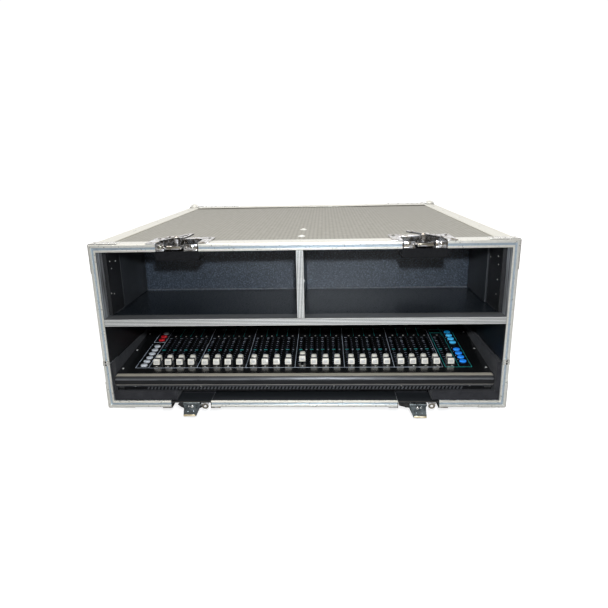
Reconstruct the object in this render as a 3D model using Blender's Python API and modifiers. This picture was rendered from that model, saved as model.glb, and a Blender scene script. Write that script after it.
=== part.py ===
"""Fader control desk in a flight case: bottom tray, lift-off cover with two bays, latches, faders and keys.

Metres, +Z up. The object's front faces -Y. Heights inside the case are counted from the case's underside
and depths from its front plane, and at() turns them into world coordinates.
"""

from math import cos, pi, radians, sin, tan

import bmesh
import bpy
from mathutils import Matrix, Vector

# ---- driving dimensions -------------------------------------------------------------------------
CASE_W = 0.660
CASE_D = 0.662
CASE_H = 0.276
SEAM_Z = 0.080              # the cover lifts off above this height
FOOT_H = 0.026
FOOT_R = 0.019
GAP = 0.0003                # clearance kept between touching pieces

ALU = 0.0013                # edging sheet
FLANGE = 0.030              # outer flange of the edging
RING_W = 0.0111             # face of the edging round the mouth
RING_TOP = 0.012
RING_BOTTOM = 0.0123
RING_DEPTH = 0.036          # inner leg of the mouth's edging
SEAM_BAND = 0.024           # edging each side of the seam
PLY = 0.0079
PLY_FRONT = 0.0046          # the boards stop behind the grooves of the mouth's edging
BALL_PROUD = 0.003          # rear corner balls stand out of the edging
BALL_SIZE = 0.028

SHELF_Z = 0.145
SHELF_T = 0.009
BAY_DEPTH = 0.196
BAY_HALF = 0.3133
LINER_START = 0.038
DIVIDER_X = -0.0021
DIVIDER_T = 0.0088
BACK_T = 0.006

TOP_LATCHES = (("left", -0.1912, -0.1955), ("right", 0.1880, 0.1885))        # side, gap's x, hook's x
BOTTOM_LATCHES = (("left", -0.1889, -0.1885), ("right", 0.1884, 0.1880))
HANG_DROP = {"left": 0.0, "right": 0.003}   # play lets one hanging hook sit lower
LATCH_GAP = 0.068
LATCH_DEPTH = 0.046          # recess through the boards
EDGING_GAP = 0.0285         # the edging stays joined behind each latch
HOOK_W = 0.025
HOOK_T = 0.002
# Of each wing: its length, the depth of its axis and the radius of its boss. The lower ones clear hanging hooks.
WINGS = {"top": (0.052, 0.0215, 0.006), "bottom": (0.036, 0.0240, 0.004)}
WING_W = 0.028
WING_LIFT = 0.0071          # middle of the wing plate above the panel that it turns on
HANG_LEAN = radians(14)     # a hanging hook leans forward by this much
HANG_LENGTH = 0.0215
HANG_PIVOT = (0.0030, 0.0065)
FLAT_PIVOT = (0.0120, 0.2690)
FLAT_LENGTH = 0.0145

DESK_X = -0.0037
PANEL_HALF = 0.312
REST_HALF = 0.3146
PANEL_SLOPE = radians(5)
PANEL_REF = (0.03325, 0.05735)
DESK_FLOOR = 0.0263
DESK_FRONT = 0.0148
FADER_PANEL_END = 0.200
DESK_REAR = 0.520
DESK_TOP = 0.205
SCREEN_END = 0.500
SHEET = 0.002

FADER_PITCH = 0.020
GROUP_PITCH = 0.084
GROUPS = 6
PER_GROUP = 4
FIRST_FADER = -0.252
FADER_FRONT = 0.0415        # front of a cap at the bottom of its travel
MASTER_RAISE = 0.0106       # the thirteenth fader stands this far up its slot
RAISED_FADER = 13
CAP_L = 0.024
CAP_W = 0.0108
STEM = (0.0014, 0.004, 0.008)
STEM_AT = 0.010             # stem's middle behind the cap's front
SLOT_W = 0.0030
SLOT = (0.0430, 0.1570)

KEY_SIZE = (0.0116, 0.0090)
KEY_RISE = 0.002
KEY_DEEP = 0.004
KEY_CLEAR = 0.0004
LEFT_KEY_X = -0.2744
RIGHT_KEY_X = 0.2750
LEFT_KEYS = (0.0439, 0.0591, 0.0740, 0.0891, 0.1047, 0.1205, 0.1489, 0.1641, 0.1791)
RIGHT_KEYS = (0.0555, 0.0709, 0.0860, 0.1013, 0.1313, 0.1468, 0.1622, 0.1776)

FOAM_HALF = 0.3186
FOAM_FLOOR = 0.026
FOAM_STEP = 0.028

# The rearmost point is a corner ball and the frontmost the tip of a hanging hook; Y = 0 is half way.
HOOK_REACH = HANG_LENGTH * sin(HANG_LEAN) + 1.6 * HOOK_T * cos(HANG_LEAN) - HANG_PIVOT[0]
FRONT_Y = -(CASE_D + BALL_PROUD - HOOK_REACH) / 2

MATERIALS = {
    "aluminium": ((0.78, 0.78, 0.80), 0.32, 1.0),
    "laminate": ((0.05, 0.05, 0.055), 0.55, 0.0),
    "black_board": ((0.02, 0.02, 0.022), 0.45, 0.0),
    "foam": ((0.04, 0.04, 0.045), 0.95, 0.0),
    "black_steel": ((0.015, 0.016, 0.018), 0.35, 0.6),
    "grey_profile": ((0.10, 0.10, 0.11), 0.35, 0.8),
    "ivory": ((0.80, 0.78, 0.74), 0.40, 0.0),
    "white_key": ((0.80, 0.84, 0.90), 0.35, 0.0),
    "red_key": ((0.70, 0.03, 0.04), 0.35, 0.0),
    "blue_key": ((0.05, 0.22, 0.65), 0.35, 0.0),
    "pale_blue_key": ((0.25, 0.50, 0.85), 0.35, 0.0),
    "zinc": ((0.62, 0.63, 0.65), 0.28, 1.0),
}


# ---- helpers ------------------------------------------------------------------------------------
def clear_scene():
    for obj in list(bpy.data.objects):
        bpy.data.objects.remove(obj, do_unlink=True)


def new_collection(name):
    collection = bpy.data.collections.new(name)
    bpy.context.scene.collection.children.link(collection)
    return collection


def material(name):
    found = bpy.data.materials.get(name)
    if found:
        return found
    colour, roughness, metallic = MATERIALS[name]
    found = bpy.data.materials.new(name)
    found.use_nodes = True
    shader = found.node_tree.nodes["Principled BSDF"]
    shader.inputs["Base Color"].default_value = (*colour, 1.0)
    shader.inputs["Roughness"].default_value = roughness
    shader.inputs["Metallic"].default_value = metallic
    return found


def at(x, depth, height):
    """World point for a depth behind the front plane and a height above the case's underside."""
    return Vector((x, FRONT_Y + depth, FOOT_H + height))


def panel_height(depth):
    """Height of the fader panel's surface above the case's underside."""
    return PANEL_REF[1] + (depth - PANEL_REF[0]) * tan(PANEL_SLOPE)


def place(obj, collection, material_name=None):
    collection.objects.link(obj)
    if material_name:
        obj.data.materials.append(material(material_name))
    return obj


def mesh_object(name, bm):
    mesh = bpy.data.meshes.new(name)
    bm.to_mesh(mesh)
    bm.free()
    return bpy.data.objects.new(name, mesh)


def box_mesh(low, high):
    """A bmesh box between two corners."""
    bm = bmesh.new()
    bmesh.ops.create_cube(bm, size=1.0)
    size = Vector(high) - Vector(low)
    middle = (Vector(high) + Vector(low)) / 2
    bm.transform(Matrix.Translation(middle) @ Matrix.Diagonal((*size, 1.0)))
    return bm


def case_box(name, x, depth, height):
    """A box given by its x, depth and height ranges in the case."""
    low = at(x[0], depth[0], height[0])
    high = at(x[1], depth[1], height[1])
    return mesh_object(name, box_mesh(low, high))


def cutter(obj):
    CUTTERS.objects.link(obj)
    obj.hide_render = True
    obj.display_type = "WIRE"
    return obj


def cut(target, x, depth, height):
    """Cuts a box from target."""
    name = f"{target.name}_cut_{len(target.modifiers):02d}"
    boolean(target, cutter(case_box(name, x, depth, height)), "DIFFERENCE")


def boolean(target, other, operation):
    modifier = target.modifiers.new(operation.title(), "BOOLEAN")
    modifier.operation = operation
    modifier.object = other
    modifier.solver = "EXACT"


def baked(obj):
    """The object's evaluated mesh as a new mesh with its loose caps welded."""
    graph = bpy.context.evaluated_depsgraph_get()
    mesh = bpy.data.meshes.new_from_object(obj.evaluated_get(graph))
    bm = bmesh.new()
    bm.from_mesh(mesh)
    bmesh.ops.remove_doubles(bm, verts=bm.verts, dist=1e-6)
    bm.to_mesh(mesh)
    bm.free()
    return mesh


def outline_curve(name, points, thickness):
    """A flat closed outline in the curve's own XY plane, given a thickness along its Z."""
    curve = bpy.data.curves.new(name, "CURVE")
    curve.dimensions = "2D"
    curve.fill_mode = "BOTH"
    curve.extrude = thickness / 2
    spline = curve.splines.new("POLY")
    spline.points.add(len(points) - 1)
    for point, (x, y) in zip(spline.points, points):
        point.co = (x, y, 0.0, 1.0)
    spline.use_cyclic_u = True
    return bpy.data.objects.new(name, curve)


def profile_prism(name, points, x, width):
    """A mesh prism: an outline of (depth, height) points run along X about the middle x."""
    curve = outline_curve(name + "_outline", points, width)
    CUTTERS.objects.link(curve)
    bpy.context.view_layer.update()
    mesh = baked(curve)
    bpy.data.objects.remove(curve, do_unlink=True)
    turn = Matrix.Rotation(pi / 2, 4, "Z") @ Matrix.Rotation(pi / 2, 4, "X")
    mesh.transform(Matrix.Translation(at(x, 0, 0)) @ turn)
    mesh.name = name
    return bpy.data.objects.new(name, mesh)


def inset(points, distance):
    """A clockwise outline with each side moved inwards."""
    result = []
    count = len(points)
    for i, point in enumerate(points):
        before = Vector(points[i - 1])
        here = Vector(point)
        after = Vector(points[(i + 1) % count])
        along_a = (here - before).normalized()
        along_b = (after - here).normalized()
        normal_a = Vector((along_a.y, -along_a.x))
        normal_b = Vector((along_b.y, -along_b.x))
        spread = (normal_a + normal_b) / (1.0 + normal_a.dot(normal_b))
        result.append(tuple(here + spread * distance))
    return result


def cylinder(bm, radius, depth, centre, axis="Z", segments=24):
    turn = {"X": Matrix.Rotation(pi / 2, 4, "Y"), "Y": Matrix.Rotation(pi / 2, 4, "X"), "Z": Matrix()}[axis]
    bmesh.ops.create_cone(bm, cap_ends=True, segments=segments, radius1=radius, radius2=radius,
                          depth=depth, matrix=Matrix.Translation(centre) @ turn)


def cylinder_object(name, *args, **kwargs):
    bm = bmesh.new()
    cylinder(bm, *args, **kwargs)
    return mesh_object(name, bm)


def smooth(mesh):
    mesh.shade_smooth()
    mesh.set_sharp_from_angle(angle=radians(35))


# ---- flight case --------------------------------------------------------------------------------
HALF_W = CASE_W / 2
PLY_OUT = HALF_W - ALU - GAP
PLY_IN = PLY_OUT - PLY
FAR = 1.0                   # cutters run this far past what they cut


def latch_cuts(target, latches_here, depth, height):
    for _, x, _ in latches_here:
        cut(target, (x - LATCH_GAP / 2, x + LATCH_GAP / 2), (-FAR, depth), height)


def corner_balls(target, height, side_z):
    """Rear corner fittings, joined to the edging before its inside is cut out."""
    for side in (-1, 1):
        x = sorted((side * (HALF_W - BALL_SIZE), side * (HALF_W + BALL_PROUD)))
        depth = (CASE_D - BALL_SIZE, CASE_D + BALL_PROUD)
        span = sorted((height + side_z * BALL_PROUD, height - side_z * BALL_SIZE))
        ball = case_box(f"{target.name}_ball_{side}", x, depth, span)
        bevel = ball.modifiers.new("Round", "BEVEL")
        bevel.width = BALL_PROUD * 1.5
        bevel.segments = 2
        boolean(target, cutter(ball), "UNION")


def edging(name, low, high, open_low, open_high):
    """Aluminium round the edges of one half of the case: a box of sheet with all its panels cut out."""
    obj = place(case_box(name, (-HALF_W, HALF_W), (0, CASE_D), (low, high)), PARTS, "aluminium")
    if open_low:
        corner_balls(obj, high, 1)
        inner = (-FAR, high - RING_TOP)
        board = (-FAR, high - ALU)
        leg = (-FAR, high - RING_TOP + ALU)
        band = (low + SEAM_BAND, high - FLANGE)
        flat = (high - 2 * ALU, FAR)
    else:
        corner_balls(obj, low, -1)
        inner = (low + RING_BOTTOM, FAR)
        board = (low + ALU, FAR)
        leg = (low + RING_BOTTOM - ALU, FAR)
        band = (low + FLANGE, high - SEAM_BAND)
        flat = (-FAR, low + 2 * ALU)
    mouth = HALF_W - RING_W
    cut(obj, (-mouth, mouth), (-FAR, CASE_D - 2 * ALU), inner)
    space = case_box(name + "_board_space", (ALU - HALF_W, HALF_W - ALU), (ALU, CASE_D - ALU), board)
    kept = cutter(case_box(name + "_leg", (-mouth - ALU, mouth + ALU), (-FAR, RING_DEPTH), leg))
    boolean(space, kept, "DIFFERENCE")
    boolean(obj, cutter(space), "DIFFERENCE")
    sides = (FLANGE, CASE_D - FLANGE)
    cut(obj, (-FAR, FAR), sides, band)
    cut(obj, (FLANGE - HALF_W, HALF_W - FLANGE), (CASE_D / 2, CASE_D + FAR), band)
    cut(obj, (FLANGE - HALF_W, HALF_W - FLANGE), sides, flat)
    return obj


def base():
    tray = place(case_box("base_tray", (-PLY_OUT, PLY_OUT), (PLY_FRONT, CASE_D - ALU - GAP),
                          (ALU + GAP, SEAM_Z - GAP)), PARTS, "laminate")
    floor = ALU + GAP + PLY
    rear = CASE_D - ALU - GAP - PLY
    cut(tray, (-PLY_IN, PLY_IN), (-FAR, rear), (floor, FAR))
    latch_cuts(tray, BOTTOM_LATCHES, LATCH_DEPTH, (-FAR, floor + GAP))
    for i, (x, depth) in enumerate(((-0.262, 0.072), (0.262, 0.072), (-0.262, 0.590), (0.262, 0.590))):
        embed = 0.004
        foot = cylinder_object(f"base_foot_{i}", FOOT_R, FOOT_H + embed, at(x, depth, (embed - FOOT_H) / 2))
        boolean(tray, cutter(foot), "UNION")
    frame = edging("base_edging", 0.0, SEAM_Z - GAP, False, True)
    latch_cuts(frame, BOTTOM_LATCHES, EDGING_GAP, (-FAR, RING_BOTTOM + GAP))
    return tray, frame


def cover():
    low = SEAM_Z
    ceiling = CASE_H - ALU - GAP - PLY
    rear = CASE_D - ALU - GAP - PLY
    shell = place(case_box("cover_shell", (-PLY_OUT, PLY_OUT), (PLY_FRONT, CASE_D - ALU - GAP),
                           (low, CASE_H - ALU - GAP)), PARTS, "laminate")
    shelf_low = SHELF_Z - 0.0015
    cut(shell, (-PLY_IN, PLY_IN), (-FAR, rear), (-FAR, shelf_low))
    cut(shell, (-PLY_IN, PLY_IN), (BAY_DEPTH, rear), (-FAR, ceiling))
    cut(shell, (-PLY_IN, PLY_IN), (-FAR, LINER_START), (-FAR, ceiling))
    cut(shell, (-BAY_HALF, BAY_HALF), (-FAR, rear), (-FAR, ceiling))
    latch_cuts(shell, TOP_LATCHES, LATCH_DEPTH, (ceiling - GAP, FAR))
    frame = edging("cover_edging", low, CASE_H, True, False)
    latch_cuts(frame, TOP_LATCHES, EDGING_GAP, (CASE_H - RING_TOP - GAP, FAR))
    return shell, frame


def bays():
    """Shelf, divider and back wall of the two bays: plain boards between the edging and the liners."""
    shelf_top = SHELF_Z + SHELF_T
    side = HALF_W - RING_W - GAP
    divider = (DIVIDER_X - DIVIDER_T / 2, DIVIDER_X + DIVIDER_T / 2)
    shelf_side = BAY_HALF - GAP
    shelf = place(case_box("shelf_board", (-side, side), (0.0015, BAY_DEPTH - GAP), (SHELF_Z, shelf_top)),
                  PARTS, "black_board")
    for x in ((-FAR, -shelf_side), (shelf_side, FAR)):
        cut(shelf, x, (LINER_START - GAP, FAR), (-FAR, FAR))
    place(case_box("divider_panel", divider, (0.0015, BAY_DEPTH - GAP),
                   (shelf_top + GAP, CASE_H - RING_TOP - GAP)), PARTS, "black_board")
    ceiling = CASE_H - ALU - PLY - 2 * GAP
    place(case_box("bay_back_panel", (-shelf_side, shelf_side), (BAY_DEPTH, BAY_DEPTH + BACK_T),
                   (SHELF_Z, ceiling)), PARTS, "black_board")


def foam():
    """One foam lining: floor slab, thin side walls, two front blocks and a rear compartment."""
    low = ALU + PLY + 2 * GAP
    rear = CASE_D - ALU - PLY - 2 * GAP
    bed = place(case_box("foam_bed", (-FOAM_HALF, FOAM_HALF), (0.002, rear), (low, SEAM_Z - 2 * GAP)),
                PARTS, "foam")
    pocket_half = PANEL_HALF - DESK_X + 0.0005
    cut(bed, (-pocket_half, pocket_half), (0.0115, DESK_REAR + 0.0025), (FOAM_FLOOR, FAR))
    cut(bed, (-pocket_half, pocket_half), (-FAR, 0.012), (FOAM_STEP, FAR))
    cut(bed, (-FAR, FAR), (-FAR, DESK_FRONT + 0.0007), (FOAM_STEP, 0.0585))
    cut(bed, (-0.212, 0.2095), (-FAR, 0.042), (-FAR, 0.030))
    cut(bed, (-FAR, FAR), (-FAR, RING_DEPTH + GAP), (-FAR, RING_BOTTOM + GAP))
    cut(bed, (-0.300, 0.300), (DESK_REAR + 0.020, rear - 0.018), (FOAM_FLOOR, FAR))
    return bed


# ---- latches ------------------------------------------------------------------------------------
def wing_mesh(length, boss_radius):
    """A butterfly plate, a little tilted, on a boss that stands on the turning axis. Z = 0 is the panel."""
    lobe = WING_W / 2
    waist = WING_W * 0.30
    end = length / 2
    outline = [(-end, -lobe * 0.7), (-end * 0.8, -lobe), (-end * 0.25, -waist), (end * 0.25, -waist),
               (end * 0.8, -lobe), (end, -lobe * 0.7), (end, lobe * 0.7), (end * 0.8, lobe),
               (end * 0.25, waist), (-end * 0.25, waist), (-end * 0.8, lobe), (-end, lobe * 0.7)]
    curve = outline_curve("wing_outline", outline, 0.002)
    CUTTERS.objects.link(curve)
    bpy.context.view_layer.update()
    plate = mesh_from(curve, "wing_plate")
    tilt = Matrix.Rotation(radians(-8), 4, "Y") @ Matrix.Rotation(radians(6), 4, "X")
    plate.data.transform(Matrix.Translation((0, 0, WING_LIFT)) @ tilt)
    for side in (-1, 1):
        slot = mesh_object(f"wing_slot_{side}", box_mesh((-0.005, -0.0015, -0.02), (0.005, 0.0015, 0.02)))
        slot.data.transform(Matrix.Translation((side * end * 0.62, 0, WING_LIFT)))
        boolean(plate, cutter(slot), "DIFFERENCE")
    boss_low = -0.008
    boss_high = WING_LIFT + 0.002
    boss = cylinder_object("wing_boss", boss_radius, boss_high - boss_low, (0, 0, (boss_low + boss_high) / 2),
                           segments=20)
    boolean(plate, cutter(boss), "UNION")
    bpy.context.view_layer.update()
    return finished(plate, "latch_wing")


def mesh_from(curve, name):
    """Turns a curve object into a mesh cutter object and removes the curve."""
    mesh = baked(curve)
    bpy.data.objects.remove(curve, do_unlink=True)
    obj = bpy.data.objects.new(name, mesh)
    return cutter(obj)


def finished(obj, name):
    """The evaluated mesh of a helper, ready to be shared by several nodes."""
    mesh = baked(obj)
    mesh.name = name
    smooth(mesh)
    return mesh


def hook_mesh(length):
    """A hook plate that runs from its pivot pin along -Z, with a thicker lip at its end on the -Y side."""
    half = HOOK_W / 2
    plate = mesh_object("hook_plate", box_mesh((-half, -HOOK_T / 2, -length), (half, HOOK_T / 2, 0.001)))
    cutter(plate)
    lip = mesh_object("hook_lip", box_mesh((-half + 0.001, -1.6 * HOOK_T, -length), (half - 0.001, 0, 0.0035 - length)))
    boolean(plate, cutter(lip), "UNION")
    barrel = cylinder_object("hook_barrel", 0.0028, HOOK_W + 0.004, (0, 0, 0), axis="X", segments=16)
    boolean(plate, cutter(barrel), "UNION")
    bpy.context.view_layer.update()
    return finished(plate, "latch_hook")


def add_latch_part(name, mesh, place_at, rotation):
    obj = bpy.data.objects.new(name, mesh)
    obj.location = place_at
    obj.rotation_euler = rotation
    place(obj, PARTS)


def latches():
    """Each latch is a wing that turns on its boss and a hook that hinges on its pin."""
    wings = {level: wing_mesh(length, radius) for level, (length, _, radius) in WINGS.items()}
    hanging = hook_mesh(HANG_LENGTH)
    flat = hook_mesh(FLAT_LENGTH)
    for mesh in (*wings.values(), hanging, flat):
        mesh.materials.append(material("zinc"))
    turn = {"left": radians(-16), "right": radians(164)}
    for side, _, x in TOP_LATCHES:
        name = f"top_latch_{side}"
        add_latch_part(name + "_wing", wings["top"], at(x, WINGS["top"][1], CASE_H), (0, 0, turn[side]))
        add_latch_part(name + "_hook", flat, at(x, *FLAT_PIVOT), (-pi / 2, 0, 0))
    for side, _, x in BOTTOM_LATCHES:
        name = f"bottom_latch_{side}"
        pivot = at(x, HANG_PIVOT[0], HANG_PIVOT[1] - HANG_DROP[side])
        add_latch_part(name + "_wing", wings["bottom"], at(x, WINGS["bottom"][1], 0), (0, pi, turn[side]))
        add_latch_part(name + "_hook", hanging, pivot, (-HANG_LEAN, 0, 0))


# ---- desk ---------------------------------------------------------------------------------------
def fader_places():
    """(x, raise) of each fader from left to right."""
    xs = [FIRST_FADER + GROUP_PITCH * g + FADER_PITCH * i for g in range(GROUPS) for i in range(PER_GROUP)]
    xs.append(-FIRST_FADER)
    return [(x, MASTER_RAISE if n == RAISED_FADER else 0.0) for n, x in enumerate(xs, 1)]


def key_places():
    """(name, x, depth, material) of each key."""
    for n, depth in enumerate(LEFT_KEYS, 1):
        finish = "white_key" if n <= 6 or n == 9 else "red_key"
        yield f"key_left_{n:02d}", LEFT_KEY_X, depth, finish
    for n, depth in enumerate(RIGHT_KEYS, 1):
        yield f"key_right_{n:02d}", RIGHT_KEY_X, depth, "blue_key" if n <= 4 else "pale_blue_key"


def on_panel(x, depth):
    return at(DESK_X + x, depth, panel_height(depth))


def panel_cutters():
    """Every fader slot and key hole as one cutter."""
    bm = bmesh.new()
    tilt = Matrix.Rotation(PANEL_SLOPE, 4, "X")
    deep = 0.02
    for x, _ in fader_places():
        middle = on_panel(x, sum(SLOT) / 2)
        size = (SLOT_W, (SLOT[1] - SLOT[0]) / cos(PANEL_SLOPE), deep, 1.0)
        bmesh.ops.create_cube(bm, size=1.0, matrix=Matrix.Translation(middle) @ tilt @ Matrix.Diagonal(size))
    for _, x, depth, _ in key_places():
        size = (KEY_SIZE[0] / 2 + KEY_CLEAR, KEY_SIZE[1] / 2 + KEY_CLEAR, 1.0, 1.0)
        bmesh.ops.create_cone(bm, cap_ends=True, segments=16, radius1=1.0, radius2=1.0, depth=deep,
                              matrix=Matrix.Translation(on_panel(x, depth)) @ tilt @ Matrix.Diagonal(size))
    return cutter(mesh_object("panel_slots", bm))


def chassis():
    """Folded steel case: fader panel, raised rear panel, walls and floor, open through its slots."""
    outline = [(DESK_FRONT, panel_height(DESK_FRONT)), (FADER_PANEL_END, panel_height(FADER_PANEL_END)),
               (SCREEN_END, DESK_TOP), (DESK_REAR, DESK_TOP), (DESK_REAR, DESK_FLOOR), (0.012, DESK_FLOOR),
               (0.012, 0.0357), (DESK_FRONT, 0.0357)]
    body = profile_prism("desk_chassis", outline, DESK_X, 2 * PANEL_HALF)
    place(body, PARTS, "black_steel")
    hollow = profile_prism("chassis_hollow", inset(outline, SHEET), DESK_X, 2 * (PANEL_HALF - SHEET))
    boolean(body, cutter(hollow), "DIFFERENCE")
    boolean(body, panel_cutters(), "DIFFERENCE")


def armrest():
    """Rounded front profile: flat on top, an elliptical nose, and flat where it meets the chassis."""
    back = DESK_FRONT - GAP
    nose = [(0.009 - 0.006 * sin(t), 0.0462 + 0.009 * cos(t))
            for t in (0.45 + (pi - 0.45) * i / 8 for i in range(9))]
    outline = [(back, 0.0360), (back, panel_height(back))] + nose + [(0.009, 0.0360)]
    rest = profile_prism("desk_armrest", outline[::-1], DESK_X, 2 * REST_HALF)
    smooth(rest.data)
    place(rest, PARTS, "grey_profile")


def cap_mesh():
    """A fader cap on its stem: a raked front face, a saddle and a higher rear crest. Y = 0 is its front."""
    outline = [(0.0, 0.002), (0.0035, 0.010), (0.0055, 0.0105), (0.009, 0.0092), (0.013, 0.0090),
               (0.017, 0.0115), (0.0195, 0.0125), (0.0225, 0.0118), (CAP_L, 0.002)]
    curve = outline_curve("cap_outline", outline, CAP_W)
    CUTTERS.objects.link(curve)
    bpy.context.view_layer.update()
    cap = mesh_from(curve, "cap_body")
    cap.data.transform(Matrix.Rotation(pi / 2, 4, "Z") @ Matrix.Rotation(pi / 2, 4, "X"))
    stem_w, stem_l, stem_deep = STEM
    stem = mesh_object("cap_stem", box_mesh((-stem_w / 2, STEM_AT - stem_l / 2, -stem_deep),
                                            (stem_w / 2, STEM_AT + stem_l / 2, 0.004)))
    boolean(cap, cutter(stem), "UNION")
    bpy.context.view_layer.update()
    return finished(cap, "fader_cap")


def faders():
    mesh = cap_mesh()
    mesh.materials.append(material("ivory"))
    for n, (x, lift) in enumerate(fader_places(), 1):
        cap = bpy.data.objects.new(f"fader_{n:02d}", mesh)
        depth = FADER_FRONT + lift * cos(PANEL_SLOPE)
        cap.location = on_panel(x, depth)
        cap.rotation_euler = (PANEL_SLOPE, 0, 0)
        place(cap, PARTS)


def keys():
    """Oval keys with a rounded top edge, each in its own hole through the panel."""
    bm = bmesh.new()
    size = Matrix.Diagonal((KEY_SIZE[0] / 2, KEY_SIZE[1] / 2, 1.0, 1.0))
    height = KEY_RISE + KEY_DEEP
    bmesh.ops.create_cone(bm, cap_ends=True, segments=16, radius1=1.0, radius2=1.0, depth=height,
                          matrix=Matrix.Translation((0, 0, (KEY_RISE - KEY_DEEP) / 2)) @ size)
    top = [edge for edge in bm.edges if all(vert.co.z > 0 for vert in edge.verts)]
    bmesh.ops.bevel(bm, geom=top, offset=0.0008, segments=2, affect="EDGES", profile=0.5)
    shape = bpy.data.meshes.new("key")
    bm.to_mesh(shape)
    bm.free()
    smooth(shape)
    for name, x, depth, finish in key_places():
        mesh = shape.copy()
        mesh.materials.append(material(finish))
        key = bpy.data.objects.new(name, mesh)
        key.location = on_panel(x, depth)
        key.rotation_euler = (PANEL_SLOPE, 0, 0)
        place(key, PARTS)


clear_scene()
PARTS = new_collection("control_desk_in_flight_case")
CUTTERS = new_collection("cutters")
base()
cover()
bays()
foam()
latches()
chassis()
armrest()
faders()
keys()
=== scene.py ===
from math import atan2, cos, pi, radians, sin, tan

import bmesh
import bpy
from mathutils import Matrix, Vector


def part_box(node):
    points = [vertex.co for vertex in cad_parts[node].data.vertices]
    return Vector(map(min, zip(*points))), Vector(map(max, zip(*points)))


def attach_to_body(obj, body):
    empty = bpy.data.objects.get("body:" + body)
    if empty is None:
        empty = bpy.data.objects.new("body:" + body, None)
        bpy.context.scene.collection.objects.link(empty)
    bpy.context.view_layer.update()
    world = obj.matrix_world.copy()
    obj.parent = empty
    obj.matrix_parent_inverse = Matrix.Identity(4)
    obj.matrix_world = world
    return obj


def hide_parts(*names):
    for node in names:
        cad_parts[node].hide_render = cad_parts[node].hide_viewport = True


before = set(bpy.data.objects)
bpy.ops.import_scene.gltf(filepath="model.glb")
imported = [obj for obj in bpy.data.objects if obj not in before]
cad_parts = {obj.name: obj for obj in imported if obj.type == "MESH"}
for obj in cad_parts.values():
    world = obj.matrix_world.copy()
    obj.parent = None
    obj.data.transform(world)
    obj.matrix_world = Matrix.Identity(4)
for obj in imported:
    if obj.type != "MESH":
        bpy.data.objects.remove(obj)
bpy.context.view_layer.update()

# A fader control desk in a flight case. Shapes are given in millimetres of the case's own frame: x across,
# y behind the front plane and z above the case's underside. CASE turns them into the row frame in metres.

MM = 0.001
EDGING = "edging_aluminium"
SIDES = ((-1, "left"), (1, "right"))
BALL_PROUD = 3.0
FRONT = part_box("cover_edging")[0].y
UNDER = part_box("base_edging")[0].z + BALL_PROUD * MM
CASE = Matrix.Translation((0, FRONT, UNDER)) @ Matrix.Scale(MM, 4)

# ---- sizes of the case, in millimetres -------------------------------------------------------------
HALF = 330
DEEP = 662
HIGH = 276
SEAM = 80
SEAM_GAP = 0.3
SHEET = 1.3
FLANGE = 30
RING = 11.1
RING_TOP = 12
RING_BOTTOM = 12.3
SEAM_BAND = 24
ROUND = 2.4
MOUTH_BACK = 30.3
BRACE = 1.2
FOAM_HALF, FOAM_END, FOAM_TOP = 318.4, 651, 79.2
SHELF_LOW, SHELF_HIGH = 143.5, 155.5
DIVIDER = (-8, 3.8)
LATCH_HALF, LATCH_DEEP = 34, 46
PLATE_HALF, PLATE_DEEP = 49, 62
# Of each latch: its side, the middle of its recess and the middle of its hook.
TOP_LATCHES = (("left", -191.2, -195.5), ("right", 188, 188.5))
BOTTOM_LATCHES = (("left", -188.9, -188.5), ("right", 188.4, 188))

DESK_X = -3.7
SLOPE = radians(5)
FADER_XS = [-252 + 84 * group + 20 * n for group in range(6) for n in range(4)] + [252]
CAP_FRONT = 41.5
MASTER = 13
MASTER_LIFT = 10.6
LEFT_KEYS = (43.9, 59.1, 74, 89.1, 104.7, 120.5, 148.9, 164.1, 179.1)
RIGHT_KEYS = (55.5, 70.9, 86, 101.3, 131.3, 146.8, 162.2, 177.6)
KEY_X = (-274.4, 275)


def panel_height(y):
    """Height of the fader panel's surface at a depth."""
    front_y, front_height = 33.25, 57.35
    return front_height + (y - front_y) * tan(SLOPE)


def on_panel(u, y, lift=0):
    """Matrix in the case frame for a detail on the fader panel: its Z is the panel's normal."""
    spot = Matrix.Translation((DESK_X + u, y, panel_height(y)))
    return spot @ Matrix.Rotation(SLOPE, 4, "X") @ Matrix.Translation((0, 0, lift))


# ---- mesh building ---------------------------------------------------------------------------------
def drawn_out(points, step):
    """A flat outline of points, drawn out into a solid by a step."""
    part = bmesh.new()
    face = part.faces.new([part.verts.new(point) for point in points])
    grown = bmesh.ops.extrude_face_region(part, geom=[face])["geom"]
    bmesh.ops.translate(part, verts=[g for g in grown if isinstance(g, bmesh.types.BMVert)], vec=step)
    bmesh.ops.recalc_face_normals(part, faces=part.faces)
    return part


def tube(count, rings):
    """Faces of a tube of rings with count points each: its sides ring by ring, then its two ends."""
    sides = [(low + i, low + (i + 1) % count, low + count + (i + 1) % count, low + count + i)
             for low in range(0, (rings - 1) * count, count) for i in range(count)]
    return sides + [tuple(range(count))[::-1], tuple(range((rings - 1) * count, rings * count))]


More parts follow.
